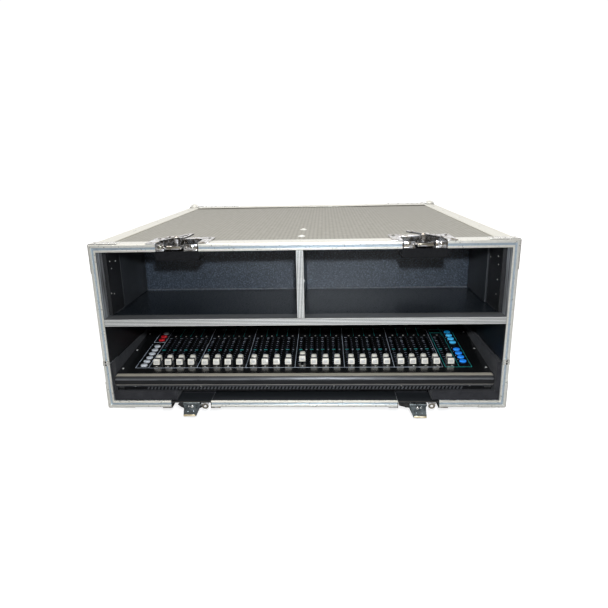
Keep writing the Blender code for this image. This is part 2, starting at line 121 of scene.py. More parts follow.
class Piece:
    """Collects faces in one mesh. Each call may name a finish by its place in the piece's material list."""

    def __init__(self):
        self.bm = bmesh.new()

    def faces(self, points, faces, finish=0, matrix=None):
        verts = [self.bm.verts.new(matrix @ Vector(p) if matrix else p) for p in points]
        finishes = finish if isinstance(finish, list) else [finish] * len(faces)
        for corners, chosen in zip(faces, finishes):
            made = self.bm.faces.new([verts[i] for i in corners])
            made.material_index = chosen
            made.smooth = True

    def box(self, low, high, finish=0, matrix=None):
        x, y, z = zip(low, high)
        points = [(x[i], y[j], z[k]) for k in (0, 1) for j in (0, 1) for i in (0, 1)]
        sides = ((0, 2, 3, 1), (4, 5, 7, 6), (0, 1, 5, 4), (2, 6, 7, 3), (0, 4, 6, 2), (1, 3, 7, 5))
        self.faces(points, sides, finish, matrix)

    def soft_box(self, low, high, radius, finish=0, matrix=None, segments=2, edges=None):
        """A box with rounded edges. edges may be "X", "Y" or "Z" to round only the edges along that axis."""
        size = Vector(high) - Vector(low)
        middle = (Vector(high) + Vector(low)) / 2
        part = bmesh.new()
        spread_out = Matrix.Translation(middle) @ Matrix.Diagonal((*size, 1))
        bmesh.ops.create_cube(part, size=1, matrix=spread_out)
        chosen = part.edges[:]
        if edges:
            axis = "XYZ".index(edges)
            chosen = [e for e in chosen if abs(e.verts[0].co[axis] - e.verts[1].co[axis]) > 1e-6]
        bmesh.ops.bevel(part, geom=chosen, offset=radius, segments=segments, profile=0.5, affect="EDGES")
        self.take(part, finish, matrix)

    def take(self, part, finish=0, matrix=None):
        """Copies another bmesh in and frees it."""
        points = [v.co.copy() for v in part.verts]
        part.verts.index_update()
        faces = [[v.index for v in face.verts] for face in part.faces]
        part.free()
        self.faces(points, faces, finish, matrix)

    def sweep(self, profile, stations, finish=0):
        """Runs a closed profile of (a, b) points through stations of (origin, a direction, b direction)."""
        points = [Vector(o) + Vector(u) * a + Vector(v) * b for o, u, v in stations for a, b in profile]
        sides = finish if isinstance(finish, list) else [finish] * len(profile)
        finishes = sides * (len(stations) - 1) + sides[:1] * 2
        self.faces(points, tube(len(profile), len(stations)), finishes)

    def outline(self, points, low, high, finish=0, matrix=None, bevel=0):
        """A flat plate: an outline of (x, y) points between two heights."""
        part = drawn_out([(x, y, low) for x, y in points], (0, 0, high - low))
        if bevel:
            top = [e for e in part.edges if all(abs(v.co.z - high) < 1e-6 for v in e.verts)]
            bmesh.ops.bevel(part, geom=top, offset=bevel, segments=2, profile=0.5, affect="EDGES")
        self.take(part, finish, matrix)

    def lathe(self, profile, matrix, finish=0, segments=20):
        """Turns (radius, height) points about the matrix's Z."""
        turns = [2 * pi * i / segments for i in range(segments)]
        points = [(radius * cos(t), radius * sin(t), height) for radius, height in profile for t in turns]
        self.faces(points, tube(segments, len(profile)), finish, matrix)

    def dome(self, matrix, radius=3, height=1.3, finish=0, segments=12):
        """A round-headed rivet standing on the matrix's Z = 0."""
        rings = [(radius * cos(t), height * sin(t)) for t in (0, 0.45, 0.9, 1.25)]
        self.lathe([(radius, -0.2)] + rings + [(radius * 0.05, height)], matrix, finish, segments)

    def screw(self, matrix, radius, height):
        """A pan-head screw in the piece's first finish; its hexagonal drive is a flat dark hexagon of painted
        shade in the second.
        """
        hexagon = radius * 0.45
        head = [(radius, -0.2), (radius, height * 0.4), (radius * 0.9, height * 0.85), (radius * 0.7, height)]
        self.lathe(head + [(hexagon, height)], matrix, 0, 16)
        # The drive is not sunk: a flat dark hexagon of painted shade.
        self.lathe([(hexagon, height - 0.25), (hexagon, height + 0.02)], matrix, 1, 6)

    def mesh(self, name, materials, matrix=CASE, angle=32):
        """Turns the faces into a mesh, in the row frame unless another matrix is given."""
        bmesh.ops.recalc_face_normals(self.bm, faces=self.bm.faces)
        mesh = bpy.data.meshes.new(name)
        self.bm.to_mesh(mesh)
        self.bm.free()
        for finish in materials:
            mesh.materials.append(finish)
        mesh.transform(matrix)
        mesh.set_sharp_from_angle(angle=radians(angle))
        return mesh

    def done(self, name, body, materials, slot=None, replaces=(), matrix=CASE, angle=32):
        """Makes the object, riding on its body."""
        return attach(add_object(name, self.mesh(name, materials, matrix, angle)), body, replaces)


def add_object(name, data):
    obj = bpy.data.objects.new(name, data)
    bpy.context.scene.collection.objects.link(obj)
    return obj


def attach(obj, body, replaces=()):
    """Says which body the object rides on and the CAD nodes it stands for."""
    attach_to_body(obj, body)
    if replaces:
        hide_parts(*replaces)
    return obj


def span(side, near, far):
    """A stretch across on one side of the middle (side is -1 or 1), in order."""
    return sorted((side * near, side * far))


def facing(x, y, z, direction):
    """Matrix in the case frame whose Z points along direction."""
    return Matrix.Translation((x, y, z)) @ Vector(direction).to_track_quat("Z", "Y").to_matrix().to_4x4()


# ---- materials -------------------------------------------------------------------------------------
def add_node(tree, kind, **inputs):
    """A new shader node. An input gets a value, or a link where it is given another node's output."""
    node = tree.nodes.new(kind)
    for name, value in inputs.items():
        socket = node.inputs[name.replace("_", " ")]
        if isinstance(value, bpy.types.NodeSocket):
            tree.links.new(value, socket)
        else:
            socket.default_value = value
    return node


def new_material(name, roughness, metallic=0, coat=0, coat_roughness=0.1, sheen=0, specular=0.5):
    """A new material, its node tree and its shader."""
    made = bpy.data.materials.new(name)
    made.use_nodes = True
    shader = made.node_tree.nodes["Principled BSDF"]
    for socket, value in (("Roughness", roughness), ("Metallic", metallic), ("Coat Weight", coat),
                          ("Coat Roughness", coat_roughness), ("Sheen Weight", sheen),
                          ("Specular IOR Level", specular)):
        shader.inputs[socket].default_value = value
    return made, made.node_tree, shader


def place(tree, stretch=(1, 1, 1)):
    """Object coordinates with a stretch for each axis."""
    where = add_node(tree, "ShaderNodeTexCoord").outputs["Object"]
    return add_node(tree, "ShaderNodeMapping", Vector=where, Scale=stretch).outputs["Vector"]


def noise(tree, vector, scale, detail=3, roughness=0.55):
    node = add_node(tree, "ShaderNodeTexNoise", Vector=vector, Scale=scale, Detail=detail,
                    Roughness=roughness)
    return node.outputs["Fac"]


def ramp(tree, value, stops):
    """A colour ramp; each stop is (position, colour)."""
    node = add_node(tree, "ShaderNodeValToRGB", Fac=value)
    elements = node.color_ramp.elements
    while len(elements) < len(stops):
        elements.new(0.5)
    for element, (position, colour) in zip(elements, stops):
        element.position = position
        element.color = (*colour, 1)
    return node.outputs["Color"]


def spread(tree, value, low, high):
    """Stretches the middle of a noise to the range from low to high."""
    node = add_node(tree, "ShaderNodeMapRange", Value=value, From_Min=0.3, From_Max=0.7,
                    To_Min=low, To_Max=high)
    return node.outputs["Result"]


def bump(tree, shader, height, strength, distance):
    node = add_node(tree, "ShaderNodeBump", Height=height, Strength=strength, Distance=distance)
    tree.links.new(node.outputs["Normal"], shader.inputs["Normal"])


def grained(name, low, high, roughness, scale, metallic=0, stretch=(1, 1, 1), strength=0.2,
            distance=0.0001, vary=0.06, stops=(0.35, 0.65), **more):
    """A finish whose colour, roughness and bump follow one grain."""
    made, tree, shader = new_material(name, roughness, metallic, **more)
    grain = noise(tree, place(tree, stretch), scale)
    tree.links.new(ramp(tree, grain, [(stops[0], low), (stops[1], high)]), shader.inputs["Base Color"])
    tree.links.new(spread(tree, grain, roughness - vary, roughness + vary), shader.inputs["Roughness"])
    if strength:
        bump(tree, shader, grain, strength, distance)
    return made


def key_finish(name, low, high, glow=(0, 0, 0), strength=0):
    """Smooth key plastic. Some keys get a painted glow that brightens them."""
    made = grained(name, low, high, 0.3, 300, strength=0.05)
    if strength:
        shader = made.node_tree.nodes["Principled BSDF"]
        shader.inputs["Emission Color"].default_value = (*glow, 1)
        shader.inputs["Emission Strength"].default_value = strength
    return made


def laminate():
    """Phenolic board with a pressed pattern of small raised hexagons in rows from front to back. Its pale
    warm tint, lighter on the hexagons' middles, is painted reflection on a darker board.
    """
    made, tree, shader = new_material("hex_laminate", 0.42)
    pitch_across, pitch_along = 0.007, 0.012
    across = place(tree, (1 / pitch_across, 1 / pitch_along, 1 / pitch_across))
    cells = add_node(tree, "ShaderNodeTexVoronoi", Vector=across, Scale=1, Randomness=0)
    dots = cells.outputs["Distance"]
    # Painted reflection: a pale warm tint, lighter in the hexagons' middles.
    tint = ramp(tree, dots, [(0.25, (0.35, 0.335, 0.29)), (0.55, (0.24, 0.228, 0.19))])
    tree.links.new(tint, shader.inputs["Base Color"])
    rough = noise(tree, place(tree), 90)
    tree.links.new(spread(tree, rough, 0.36, 0.5), shader.inputs["Roughness"])
    bump(tree, shader, dots, -0.5, 0.0005)
    return made


def speckled():
    """Painted board whose coarse grain catches the light as fine speckles, painted into its colour as bright
    bluish glints of reflection.
    """
    made, tree, shader = new_material("bay_back_board", 0.36, specular=0.8)
    grain = noise(tree, place(tree), 420, 4, 0.7)
    # Painted glints: the grain's bright speckles, with a bluish tint of painted cool reflection.
    tint = ramp(tree, grain, [(0.36, (0.007, 0.01, 0.015)), (0.52, (0.028, 0.039, 0.056)),
                              (0.72, (0.135, 0.185, 0.26))])
    tree.links.new(tint, shader.inputs["Base Color"])
    bump(tree, shader, grain, 0.7, 0.0006)
    return made


def foam_finish():
    """Charcoal foam with open cells."""
    made, tree, shader = new_material("foam_cells", 0.95, sheen=0.1, specular=0.1)
    where = place(tree)
    cells = add_node(tree, "ShaderNodeTexVoronoi", Vector=where, Scale=520)
    cloud = noise(tree, where, 60)
    tint = ramp(tree, cloud, [(0.3, (0.02, 0.02, 0.023)), (0.7, (0.034, 0.034, 0.038))])
    tree.links.new(tint, shader.inputs["Base Color"])
    bump(tree, shader, cells.outputs["Distance"], 0.6, 0.0008)
    return made


ALU_FACE = grained("edging_face", (0.84, 0.82, 0.76), (0.9, 0.88, 0.82), 0.3, 260, 0.7,
                   strength=0, vary=0.03)
# Groove and inner leg are the same aluminium as the lips: a bluish painted reflection in the groove and
# streaks of painted reflection along the leg.
ALU_GROOVE_REFLECTION = grained("edging_groove_painted_reflection", (0.48, 0.56, 0.64), (0.54, 0.62, 0.7), 0.3, 260, 0.75,
                     strength=0, vary=0.03)
ALU_LEG_REFLECTIONS = grained("edging_leg_painted_reflections", (0.1, 0.09, 0.09), (0.56, 0.59, 0.62), 0.34, 300, 0.3,
                  (1, 1, 0.03), 0, stops=(0.4, 0.62))
ALU_SHELF = grained("channel_face", (0.78, 0.775, 0.745), (0.84, 0.835, 0.81), 0.34, 260, 0.6,
                    (0.05, 1, 1), 0)
# Flanges and legs of the channels: their aluminium darkened as painted shade.
ALU_CHANNEL_SHADE = grained("channel_flange_painted_shade", (0.1, 0.105, 0.11), (0.17, 0.175, 0.185), 0.38, 200, 0.4,
                     (0.03, 1, 1), 0)
ALU_LONG = grained("edging_long", (0.84, 0.82, 0.74), (0.9, 0.885, 0.81), 0.36, 240, 1,
                   (1, 0.05, 1), 0)
PLATED = grained("bright_plate", (0.8, 0.79, 0.75), (0.93, 0.92, 0.88), 0.24, 300, 1, strength=0.08)
STEEL = grained("screw_steel", (0.8, 0.79, 0.75), (0.93, 0.91, 0.86), 0.34, 500, 0.55)
BOLT_STEEL = grained("bolt_steel", (0.93, 0.92, 0.86), (0.97, 0.96, 0.92), 0.32, 500, 0.15)

ZINC = grained("latch_zinc", (0.42, 0.38, 0.33), (0.86, 0.86, 0.88), 0.2, 130, 1,
               strength=0.25, distance=0.0004, stops=(0.42, 0.56))
# Latch zinc in painted shade: wing edges and undersides, the lower wings, the lower dish walls and small
# parts in the latches' shade.
ZINC_SHADE = grained("latch_shade", (0.012, 0.012, 0.013), (0.045, 0.043, 0.04), 0.34, 160, 0.5)
HOOK_STEEL = grained("hook_steel", (0.13, 0.15, 0.16), (0.24, 0.27, 0.28), 0.3, 110, 1, strength=0.15)
BRONZE = grained("hook_bronze", (0.16, 0.14, 0.105), (0.34, 0.3, 0.24), 0.3, 200, 0.8,
                 (0.06, 1, 1), 0.1)
CREAM_METAL = grained("hook_lip", (0.62, 0.5, 0.3), (0.92, 0.82, 0.62), 0.32, 160, 0.4, strength=0.1)

LAMINATE = laminate()
SPECKLED = speckled()
BOARD = grained("black_board", (0.01, 0.011, 0.012), (0.018, 0.02, 0.022), 0.6, 500,
                strength=0.1, specular=0.2)
# Black board with a bluish tint of painted cool reflection.
SATIN_BLUE_REFLECTION = grained("satin_black_board", (0.009, 0.012, 0.016), (0.014, 0.019, 0.026), 0.3, 500, strength=0.1)
LINER = grained("bay_liner", (0.02, 0.022, 0.025), (0.03, 0.033, 0.037), 0.42, 500, strength=0.15)
WORN = grained("worn_edge", (0.1, 0.1, 0.11), (0.22, 0.22, 0.23), 0.5, 300, strength=0.1)
RACK = grained("rack_strip_paint", (0.008, 0.008, 0.009), (0.014, 0.014, 0.015), 0.45, 400)
FOAM = foam_finish()
RUBBER = grained("foot_rubber", (0.012, 0.012, 0.012), (0.022, 0.022, 0.022), 0.75, 300, strength=0.4)

DESK = grained("desk_paint", (0.007, 0.0075, 0.008), (0.012, 0.0125, 0.013), 0.24, 900, strength=0.1,
               distance=0.00005, vary=0.03, specular=0.8, coat=0.6, coat_roughness=0.16)
ALONG_X = (0.05, 1, 1)
# Armrest bands, all copies of one profile's finish: painted warm highlight, painted cool highlight, painted
# shade and painted dark reflection, besides the lip and the underside.
REST_WARM_HIGHLIGHT = grained("armrest_painted_warm_highlight", (0.46, 0.43, 0.36), (0.55, 0.51, 0.43), 0.32, 700, 0.4, ALONG_X, 0.1)
# The armrest's painted cool highlight band.
REST = grained("armrest_profile", (0.14, 0.144, 0.153), (0.18, 0.185, 0.195), 0.32, 700, 0.5, ALONG_X, 0.1)
REST_SHADE = grained("armrest_shade", (0.026, 0.027, 0.029), (0.036, 0.037, 0.04), 0.4, 700, 0.2,
                     ALONG_X, 0.1)
REST_DARK_REFLECTION = grained("armrest_painted_dark_reflection", (0.008, 0.008, 0.009), (0.014, 0.014, 0.015), 0.46, 700, 0,
               ALONG_X, 0.1, specular=0.2)
REST_LIP = grained("armrest_lip", (0.17, 0.16, 0.145), (0.24, 0.23, 0.21), 0.36, 700, 0.3, ALONG_X, 0.1)
REST_UNDER = grained("armrest_under", (0.06, 0.062, 0.068), (0.085, 0.088, 0.096), 0.4, 700, 0.2,
                     ALONG_X, 0.1)
# Plain black, also used as painted shade for holes, slots, vents and recesses.
BLACK_AND_SHADE = grained("black_and_painted_shade", (0.004, 0.004, 0.005), (0.01, 0.01, 0.011), 0.6, 500, specular=0.1)
LIGHT_PRINT = grained("print_white", (0.58, 0.64, 0.74), (0.7, 0.76, 0.86), 0.5, 600)
GREY_PRINT = grained("print_grey", (0.22, 0.25, 0.32), (0.3, 0.33, 0.41), 0.5, 600)
TEAL_PRINT = grained("print_teal", (0.02, 0.5, 0.48), (0.04, 0.62, 0.58), 0.5, 600)
CAP_GRID = grained("cap_grid", (0.36, 0.355, 0.35), (0.44, 0.43, 0.42), 0.5, 500)
CAP_CREAM = grained("cap_cream", (0.86, 0.8, 0.69), (0.94, 0.89, 0.79), 0.34, 500)
CAP_SHADE = grained("cap_painted_shade", (0.045, 0.042, 0.04), (0.07, 0.066, 0.062), 0.45, 500)
CAP_WHITE = grained("cap_white", (0.7, 0.69, 0.68), (0.78, 0.77, 0.76), 0.38, 500)
GLASS = grained("screen_glass", (0.004, 0.005, 0.007), (0.006, 0.007, 0.01), 0.08, 60,
                strength=0, vary=0.02)
KNOB = grained("knob_plastic", (0.016, 0.016, 0.018), (0.028, 0.028, 0.03), 0.4, 500)
KEY_FINISH = {
    "key_white": key_finish("key_white", (0.8, 0.82, 0.86), (0.88, 0.9, 0.94)),
    "key_red": key_finish("key_red", (0.74, 0.012, 0.02), (0.86, 0.02, 0.03)),
    # The blue keys carry a painted glow that brightens them.
    "key_blue": key_finish("key_blue", (0.03, 0.34, 1), (0.05, 0.4, 1), (0, 0.18, 1), 0.3),
    "key_pale_blue": key_finish("key_pale_blue", (0.1, 0.62, 1), (0.14, 0.7, 1),
                                (0, 0.4, 1), 0.2),
}


# ---- aluminium edging ------------------------------------------------------------------------------
def arc(radius):
    """Corner of an outline, from (0, radius) round to (radius, 0)."""
    steps = 4
    turns = [pi / 2 * i / steps for i in range(steps + 1)]
    return [(radius - radius * cos(t), radius - radius * sin(t)) for t in turns]


MOUTH_PROFILE = [(0, FLANGE)] + arc(ROUND) + [
    (4.1, 0), (4.35, 0.3), (4.5, 2.4), (4.9, 2.8), (7.6, 2.8), (7.9, 2.4), (8.1, 0.3), (8.35, 0), (9.1, 0),
    (9.3, 0.3), (9.35, 1), (9.65, 1), (9.75, 0.3), (9.95, 0), (10.7, 0), (11.1, 0.6), (11.1, 36),
    (9.8, 36), (9.8, 4.3), (SHEET, 4.3), (SHEET, FLANGE)]


def mouth_finish(across, next_across):
    """The mouth's edging: its lips keep the plain aluminium, its groove gets a painted cool reflection and
    its inner leg gets streaks of painted reflection.
    """
    if min(across, next_across) >= 4.4 and max(across, next_across) <= 8:
        return 1
    return 2 if min(across, next_across) > 11 else 0


MOUTH_FINISH = [mouth_finish(a, b)
                for (a, _), (b, _) in zip(MOUTH_PROFILE, MOUTH_PROFILE[1:] + MOUTH_PROFILE[:1])]


def bead(middle):
    """A shallow groove across a flange face."""
    half, depth = 0.5, 0.3
    return [(middle + half * share, down) for share, down in ((-1, 0), (-0.5, depth), (0.5, depth), (1, 0))]


def angle_profile():
    """L section with a rounded corner and two fine grooves on each flange."""
    along = bead(6.5) + bead(25)
    down = [(b, a) for a, b in reversed(along)]
    inside = [(FLANGE, 0), (FLANGE, SHEET), (SHEET, SHEET), (SHEET, FLANGE)]
    return [(0, FLANGE)] + down + arc(ROUND) + along + inside


def front_rail(piece, x_from, x_to, z, inward, rail):
    """A stretch of rail round the mouth. Its ends are mitred where they reach the corners."""
    share = rail / RING * inward
    stations = []
    for x in (x_from, x_to):
        mitre = -1 if x == HALF else 1 if x == -HALF else 0
        stations.append(((x, 0, z), (mitre, 0, share), (0, 1, 0)))
    piece.sweep(MOUTH_PROFILE, stations, MOUTH_FINISH)


def front_post(piece, side, z_seam, z_corner, rail):
    """An upright of the mouth, from the seam to the corner that it shares with a rail."""
    share = rail / RING * (-1 if z_corner > z_seam else 1)
    piece.sweep(MOUTH_PROFILE, [((side * HALF, 0, z_seam), (-side, 0, 0), (0, 1, 0)),
                                ((side * HALF, 0, z_corner), (-side, 0, share), (0, 1, 0))], MOUTH_FINISH)


def long_edges(piece, z, inward, seam):
    """Edges behind the mouth: two along the sides, one along the rear, two upright and the seam strips."""
    profile = angle_profile()
    across = (FLANGE - HALF, HALF - FLANGE)
    strip = [(0, SHEET), (0, 0.4), (0.4, 0)] + bead(4) + bead(10) + bead(16) + [
        (SEAM_BAND - 0.4, 0), (SEAM_BAND, 0.4), (SEAM_BAND, SHEET)]
    stop = z + inward * FLANGE
    for side in (-1, 1):
        x, turn = side * HALF, (-side, 0, 0)
        piece.sweep(profile, [((x, y, z), turn, (0, 0, inward)) for y in (MOUTH_BACK, DEEP - 0.2)])
        piece.sweep(profile, [((x, DEEP, h), turn, (0, -1, 0)) for h in (seam, stop)])
        piece.sweep(strip, [((x, y, seam), (0, 0, -inward), turn) for y in (MOUTH_BACK, DEEP - FLANGE - 0.1)])
        fill = span(side, HALF - FLANGE, HALF - SHEET)
        piece.box((fill[0], DEEP - SHEET, min(stop, z)), (fill[1], DEEP, max(stop, z)))
    piece.sweep(profile, [((x, DEEP, z), (0, -1, 0), (0, 0, inward)) for x in across])
    piece.sweep(strip, [((x, DEEP, seam), (0, 0, -inward), (0, -1, 0)) for x in across])


def case_edging(name, z, seam, rail, latches):
    """All edging of the cover or the base, whose outer face is at z."""
    inward = -1 if z > seam else 1
    front = Piece()
    recesses = [x + side * LATCH_HALF for _, x, _ in latches for side in (-1, 1)]
    edges = [-HALF] + recesses + [HALF]
    for start, stop in zip(edges[::2], edges[1::2]):
        front_rail(front, start, stop, z, inward, rail)
    for side in (-1, 1):
        front_post(front, side, seam, z, rail)
    finishes = [ALU_FACE, ALU_GROOVE_REFLECTION, ALU_LEG_REFLECTIONS]
    front.done(name + "_mouth_edging", name, finishes, EDGING, (name + "_edging",), angle=25)
    long = Piece()
    long_edges(long, z, inward, seam)
    long.done(name + "_long_edging", name, [ALU_LONG], EDGING, angle=25)


def ball_corner(piece, side, z, inward):
    """Rear corner fitting: three rounded petals over a ball, with a rivet on each."""
    reach, ball_radius, petal_share = 36, 11, 0.35
    away = Vector((side, 1, -inward))
    inner = Vector((side * HALF, DEEP, z))
    outer = inner + away * BALL_PROUD
    ball = bmesh.new()
    bmesh.ops.create_cube(ball, size=1)
    for vert in ball.verts:
        vert.co = [o - a * reach * (c + 0.5) for o, a, c in zip(outer, away, vert.co)]
    bmesh.ops.recalc_face_normals(ball, faces=ball.faces)
    corner = min(ball.verts, key=lambda v: (v.co - outer).length)
    bmesh.ops.bevel(ball, geom=corner.link_edges[:], offset=ball_radius, segments=6, profile=0.5,
                    affect="EDGES")
    for vert in ball.verts:
        depth = [abs(c - o) for c, o in zip(vert.co, outer)]
        if max(depth) > reach - 0.01:
            for axis in range(3):
                if depth[axis] < 0.01:
                    vert.co[axis] = inner[axis] + (outer[axis] - inner[axis]) * petal_share
    piece.take(ball)
    for axis in range(3):
        spot = outer - away * 24
        spot[axis] = outer[axis] - away[axis] * 1.6
        normal = Vector((0, 0, 0))
        normal[axis] = away[axis]
        piece.dome(facing(*spot, normal), 3.2, 1.5)


def plate_outline(length, width, scallops):
    """Half of a stamped brace: straight along its outer edges, with scallops along its inner edge."""
    points = [(0, 0), (length, 0), (length, width * 0.55)]
    for n in range(scallops):
        start = length - length * 0.72 * n / scallops
        stop = length - length * 0.72 * (n + 1) / scallops
        for k in range(1, 6):
            t = pi * k / 5
            middle = (start + stop) / 2
            points.append((middle + (start - stop) / 2 * cos(t), width * (0.62 + 0.38 * sin(t))))
    points += [(length * 0.2, width * 0.95), (0, width)]
    return points


def corner_braces(piece, z, inward):
    """Stamped plates over the front corners, on the top or underside and on the sides."""
    out = (0, 0, -inward)
    for side in (-1, 1):
        flat = Matrix(((-side, 0, 0, side * HALF), (0, 1, 0, 2), (0, 0, -inward, z), (0, 0, 0, 1)))
        piece.outline(plate_outline(45, 24, 3), -0.1, BRACE, matrix=flat, bevel=0.4)
        for x in (322, 309, 301, 290):
            piece.dome(facing(side * x, 11, z - inward * BRACE, out), 2.6, 1.4)
        upright = Matrix(((0, 0, side, side * HALF), (0, 1, 0, 2), (inward, 0, 0, z), (0, 0, 0, 1)))
        piece.outline(plate_outline(46, 24, 3), -0.1, BRACE, matrix=upright, bevel=0.4)
        for h in (9, 24, 38):
            piece.dome(facing(side * (HALF + BRACE), 11, z + inward * h, (side, 0, 0)), 2.6, 1.4)
        rear = Matrix(((-side, 0, 0, side * 298), (0, -1, 0, DEEP - 2), (0, 0, -inward, z), (0, 0, 0, 1)))
        piece.outline(plate_outline(98, 24, 5), -0.1, BRACE, matrix=rear, bevel=0.4)
        for x in (288, 262, 236, 210):
            piece.dome(facing(side * x, DEEP - 11, z - inward * BRACE, out), 2.6, 1.4)


def seam_tabs(piece, seam, inward):
    """A small tab on each front post, next to the seam; its hole is a dark disc of painted shade."""
    for side in (-1, 1):
        x = side * 324.6
        low, high = sorted((seam - inward * 0.4, seam + inward * 4.6))
        piece.soft_box((x - 5.2, -0.9, low), (x + 5.2, 0.6, high), 0.5)
        hole = facing(x, -0.9, seam + inward * 2.6, (0, -1, 0))
        piece.lathe([(2.2, -0.1), (2.2, 0.5), (1.5, 0.6), (1.5, 0.3)], hole, 0, 16)
        # The hole: a dark disc of painted shade.
        piece.lathe([(1.5, 0.1), (1.5, 0.35)], hole, 1, 12)


def case_hardware(name, z, seam):
    """Corner fittings and rivets of the cover or the base. Only the cover has a dome on each rear corner."""
    inward = -1 if z > seam else 1
    plates = Piece()
    for side in (-1, 1):
        ball_corner(plates, side, z, inward)
        if name == "cover":
            plates.dome(facing(side * 321, DEEP - 9, z, (0, 0, 1)), 11.8, 8.6, 2, 28)
    corner_braces(plates, z, inward)
    seam_tabs(plates, seam, inward)
    plates.done(name + "_corner_fittings", name, [PLATED, BLACK_AND_SHADE, BOLT_STEEL], EDGING)
    rivets = Piece()
    for side in (-1, 1):
        for y in (165, 305, 455, 560):
            rivets.dome(facing(side * 314, y, z, (0, 0, -inward)))
            for h in (z + inward * 16, seam - inward * 19):
                rivets.dome(facing(side * HALF, y, h, (side, 0, 0)))
    for x in (-150, 0, 150):
        rivets.dome(facing(x, DEEP - 15, z, (0, 0, -inward)))
        for h in (z + inward * 16, seam - inward * 19):
            rivets.dome(facing(x, DEEP, h, (0, 1, 0)))
    rivets.done(name + "_rivets", name, [STEEL], EDGING)


def rear_strap():
    """Flat strap on the cover's top, in front of its rear edging."""
    strap = Piece()
    reach, back = HALF - FLANGE - 0.2, DEEP - FLANGE - 0.2
    strap.soft_box((-reach, DEEP - 58, HIGH), (reach, back, HIGH + BRACE), 0.5)
    strap.done("cover_rear_strap", "cover", [ALU_LONG], EDGING)


# ---- boards ----------------------------------------------------------------------------------------
def sheet(name, body, low, high):
    """One board of laminate."""
    board = Piece()
    board.box(low, high)
    board.done(name, body, [LAMINATE], "laminate")


def panels():
    """Laminate sheets set between the flanges of the edging."""
    edge, rear = HALF - FLANGE - 0.1, DEEP - FLANGE - 0.1
    recess = LATCH_DEEP + 0.2
    low, high = 274.45, 274.95
    top = Piece()
    top.box((-edge, recess, low), (edge, rear, high))
    gaps = [-edge] + [x + side * LATCH_HALF for _, x, _ in TOP_LATCHES for side in (-1, 1)] + [edge]
    for start, stop in zip(gaps[::2], gaps[1::2]):
        top.box((start, MOUTH_BACK - 0.2, low), (stop, recess, high))
    top.done("cover_top_laminate", "cover", [LAMINATE], "laminate")
    for body, low, high in (("cover", SEAM + SEAM_BAND + 0.1, HIGH - FLANGE - 0.1),
                            ("base", FLANGE + 0.1, SEAM - SEAM_BAND - 0.1)):
        for side, word in SIDES:
            x = span(side, 328.45, 328.95)
            sheet(f"{body}_side_laminate_{word}", body, (x[0], MOUTH_BACK - 0.1, low), (x[1], rear, high))
        sheet(f"{body}_rear_laminate", body, (-edge, DEEP - 1.55, low), (edge, DEEP - 1.05, high))
    sheet("base_underside_laminate", "base", (-edge, 64, 1), (edge, rear, 1.5))


def channel(piece, stations, width, legs):
    """U-shaped capping: a ridged face with two legs behind it."""
    ridges = []
    count = 4
    for n in range(count):
        middle = width * (n + 1) / (count + 1)
        ridges += [(middle - 0.6, 0), (middle - 0.3, 0.22), (middle + 0.3, 0.22), (middle + 0.6, 0)]
    profile = [(0, legs), (0, 0.8), (0.8, 0)] + ridges + [(width - 0.8, 0), (width, 0.8), (width, legs),
               (width - 1.2, legs), (width - 1.2, 1.2), (1.2, 1.2), (1.2, legs)]
    # The legs and back faces take the second finish, which is painted shade.
    outer = [1 if 0 < b or not 0 <= a <= width else 0 for a, b in profile]
    outer[-5:] = [1] * 5
    piece.sweep(profile, [(origin, direction, (0, 1, 0)) for origin, direction in stations], outer)


def bay_channels():
    """Aluminium channels on the front edges of the shelf and of the divider."""
    half = HALF - RING - 0.3
    finishes = [ALU_SHELF, ALU_CHANNEL_SHADE]
    shelf = Piece()
    channel(shelf, [((x, 0.1, SHELF_HIGH), (0, 0, -1)) for x in (-half, half)], SHELF_HIGH - SHELF_LOW, 24.5)
    shelf.done("shelf_edge_channel", "cover", finishes, EDGING, angle=25)
    upright = Piece()
    left, right = DIVIDER
    channel(upright, [((left, 0.1, z), (1, 0, 0)) for z in (SHELF_HIGH + 0.1, HIGH - RING_TOP - 0.2)],
            right - left, 14.6)
    upright.dome(facing(right, 3.4, 215.5, (1, 0, 0)), 2.6, 1.6)
    upright.done("divider_edge_channel", "cover", finishes, EDGING, angle=25)


def rack_strips():
    """A strip for rack screws at each side of the bays, with some screws in it and the liner behind it."""
    foot, top = SHELF_HIGH + 0.1, 263.6
    screws = {"left": ((34.3, 243.6), (57, 240.2), (37.9, 231.4), (26.5, 192.2), (37.3, 189)),
              "right": ((43.2, 243.2), (79.5, 235.5), (38.9, 230.5), (38.7, 206.1), (39.3, 181.8))}
    for (side, word), stop, liner_in in zip(SIDES, (75, 86), (312, 309)):
        strip = Piece()
        x = span(side, 318.7, 312.4)
        strip.box((x[0], 22.5, foot), (x[1], 38.2, top))
        x = span(side, 313.2, 312.4)
        strip.box((x[0], 38.2, SHELF_HIGH + 0.8), (x[1], stop, top))
        strip.box((x[0], 24, foot), (x[1], stop, SHELF_HIGH + 0.8), 2)
        for y, z in screws[word]:
            strip.dome(facing(side * 312.4, y, z, (-side, 0, 0)), 1.2, 0.6, 1, 10)
        liner = span(side, 313.2, liner_in)
        strip.soft_box((liner[0], stop, foot), (liner[1], 195.7, top), 0.2, 3, edges="Z")
        strip.done(f"bay_rack_strip_{word}", "cover", [RACK, STEEL, WORN, LINER], "bay_board")


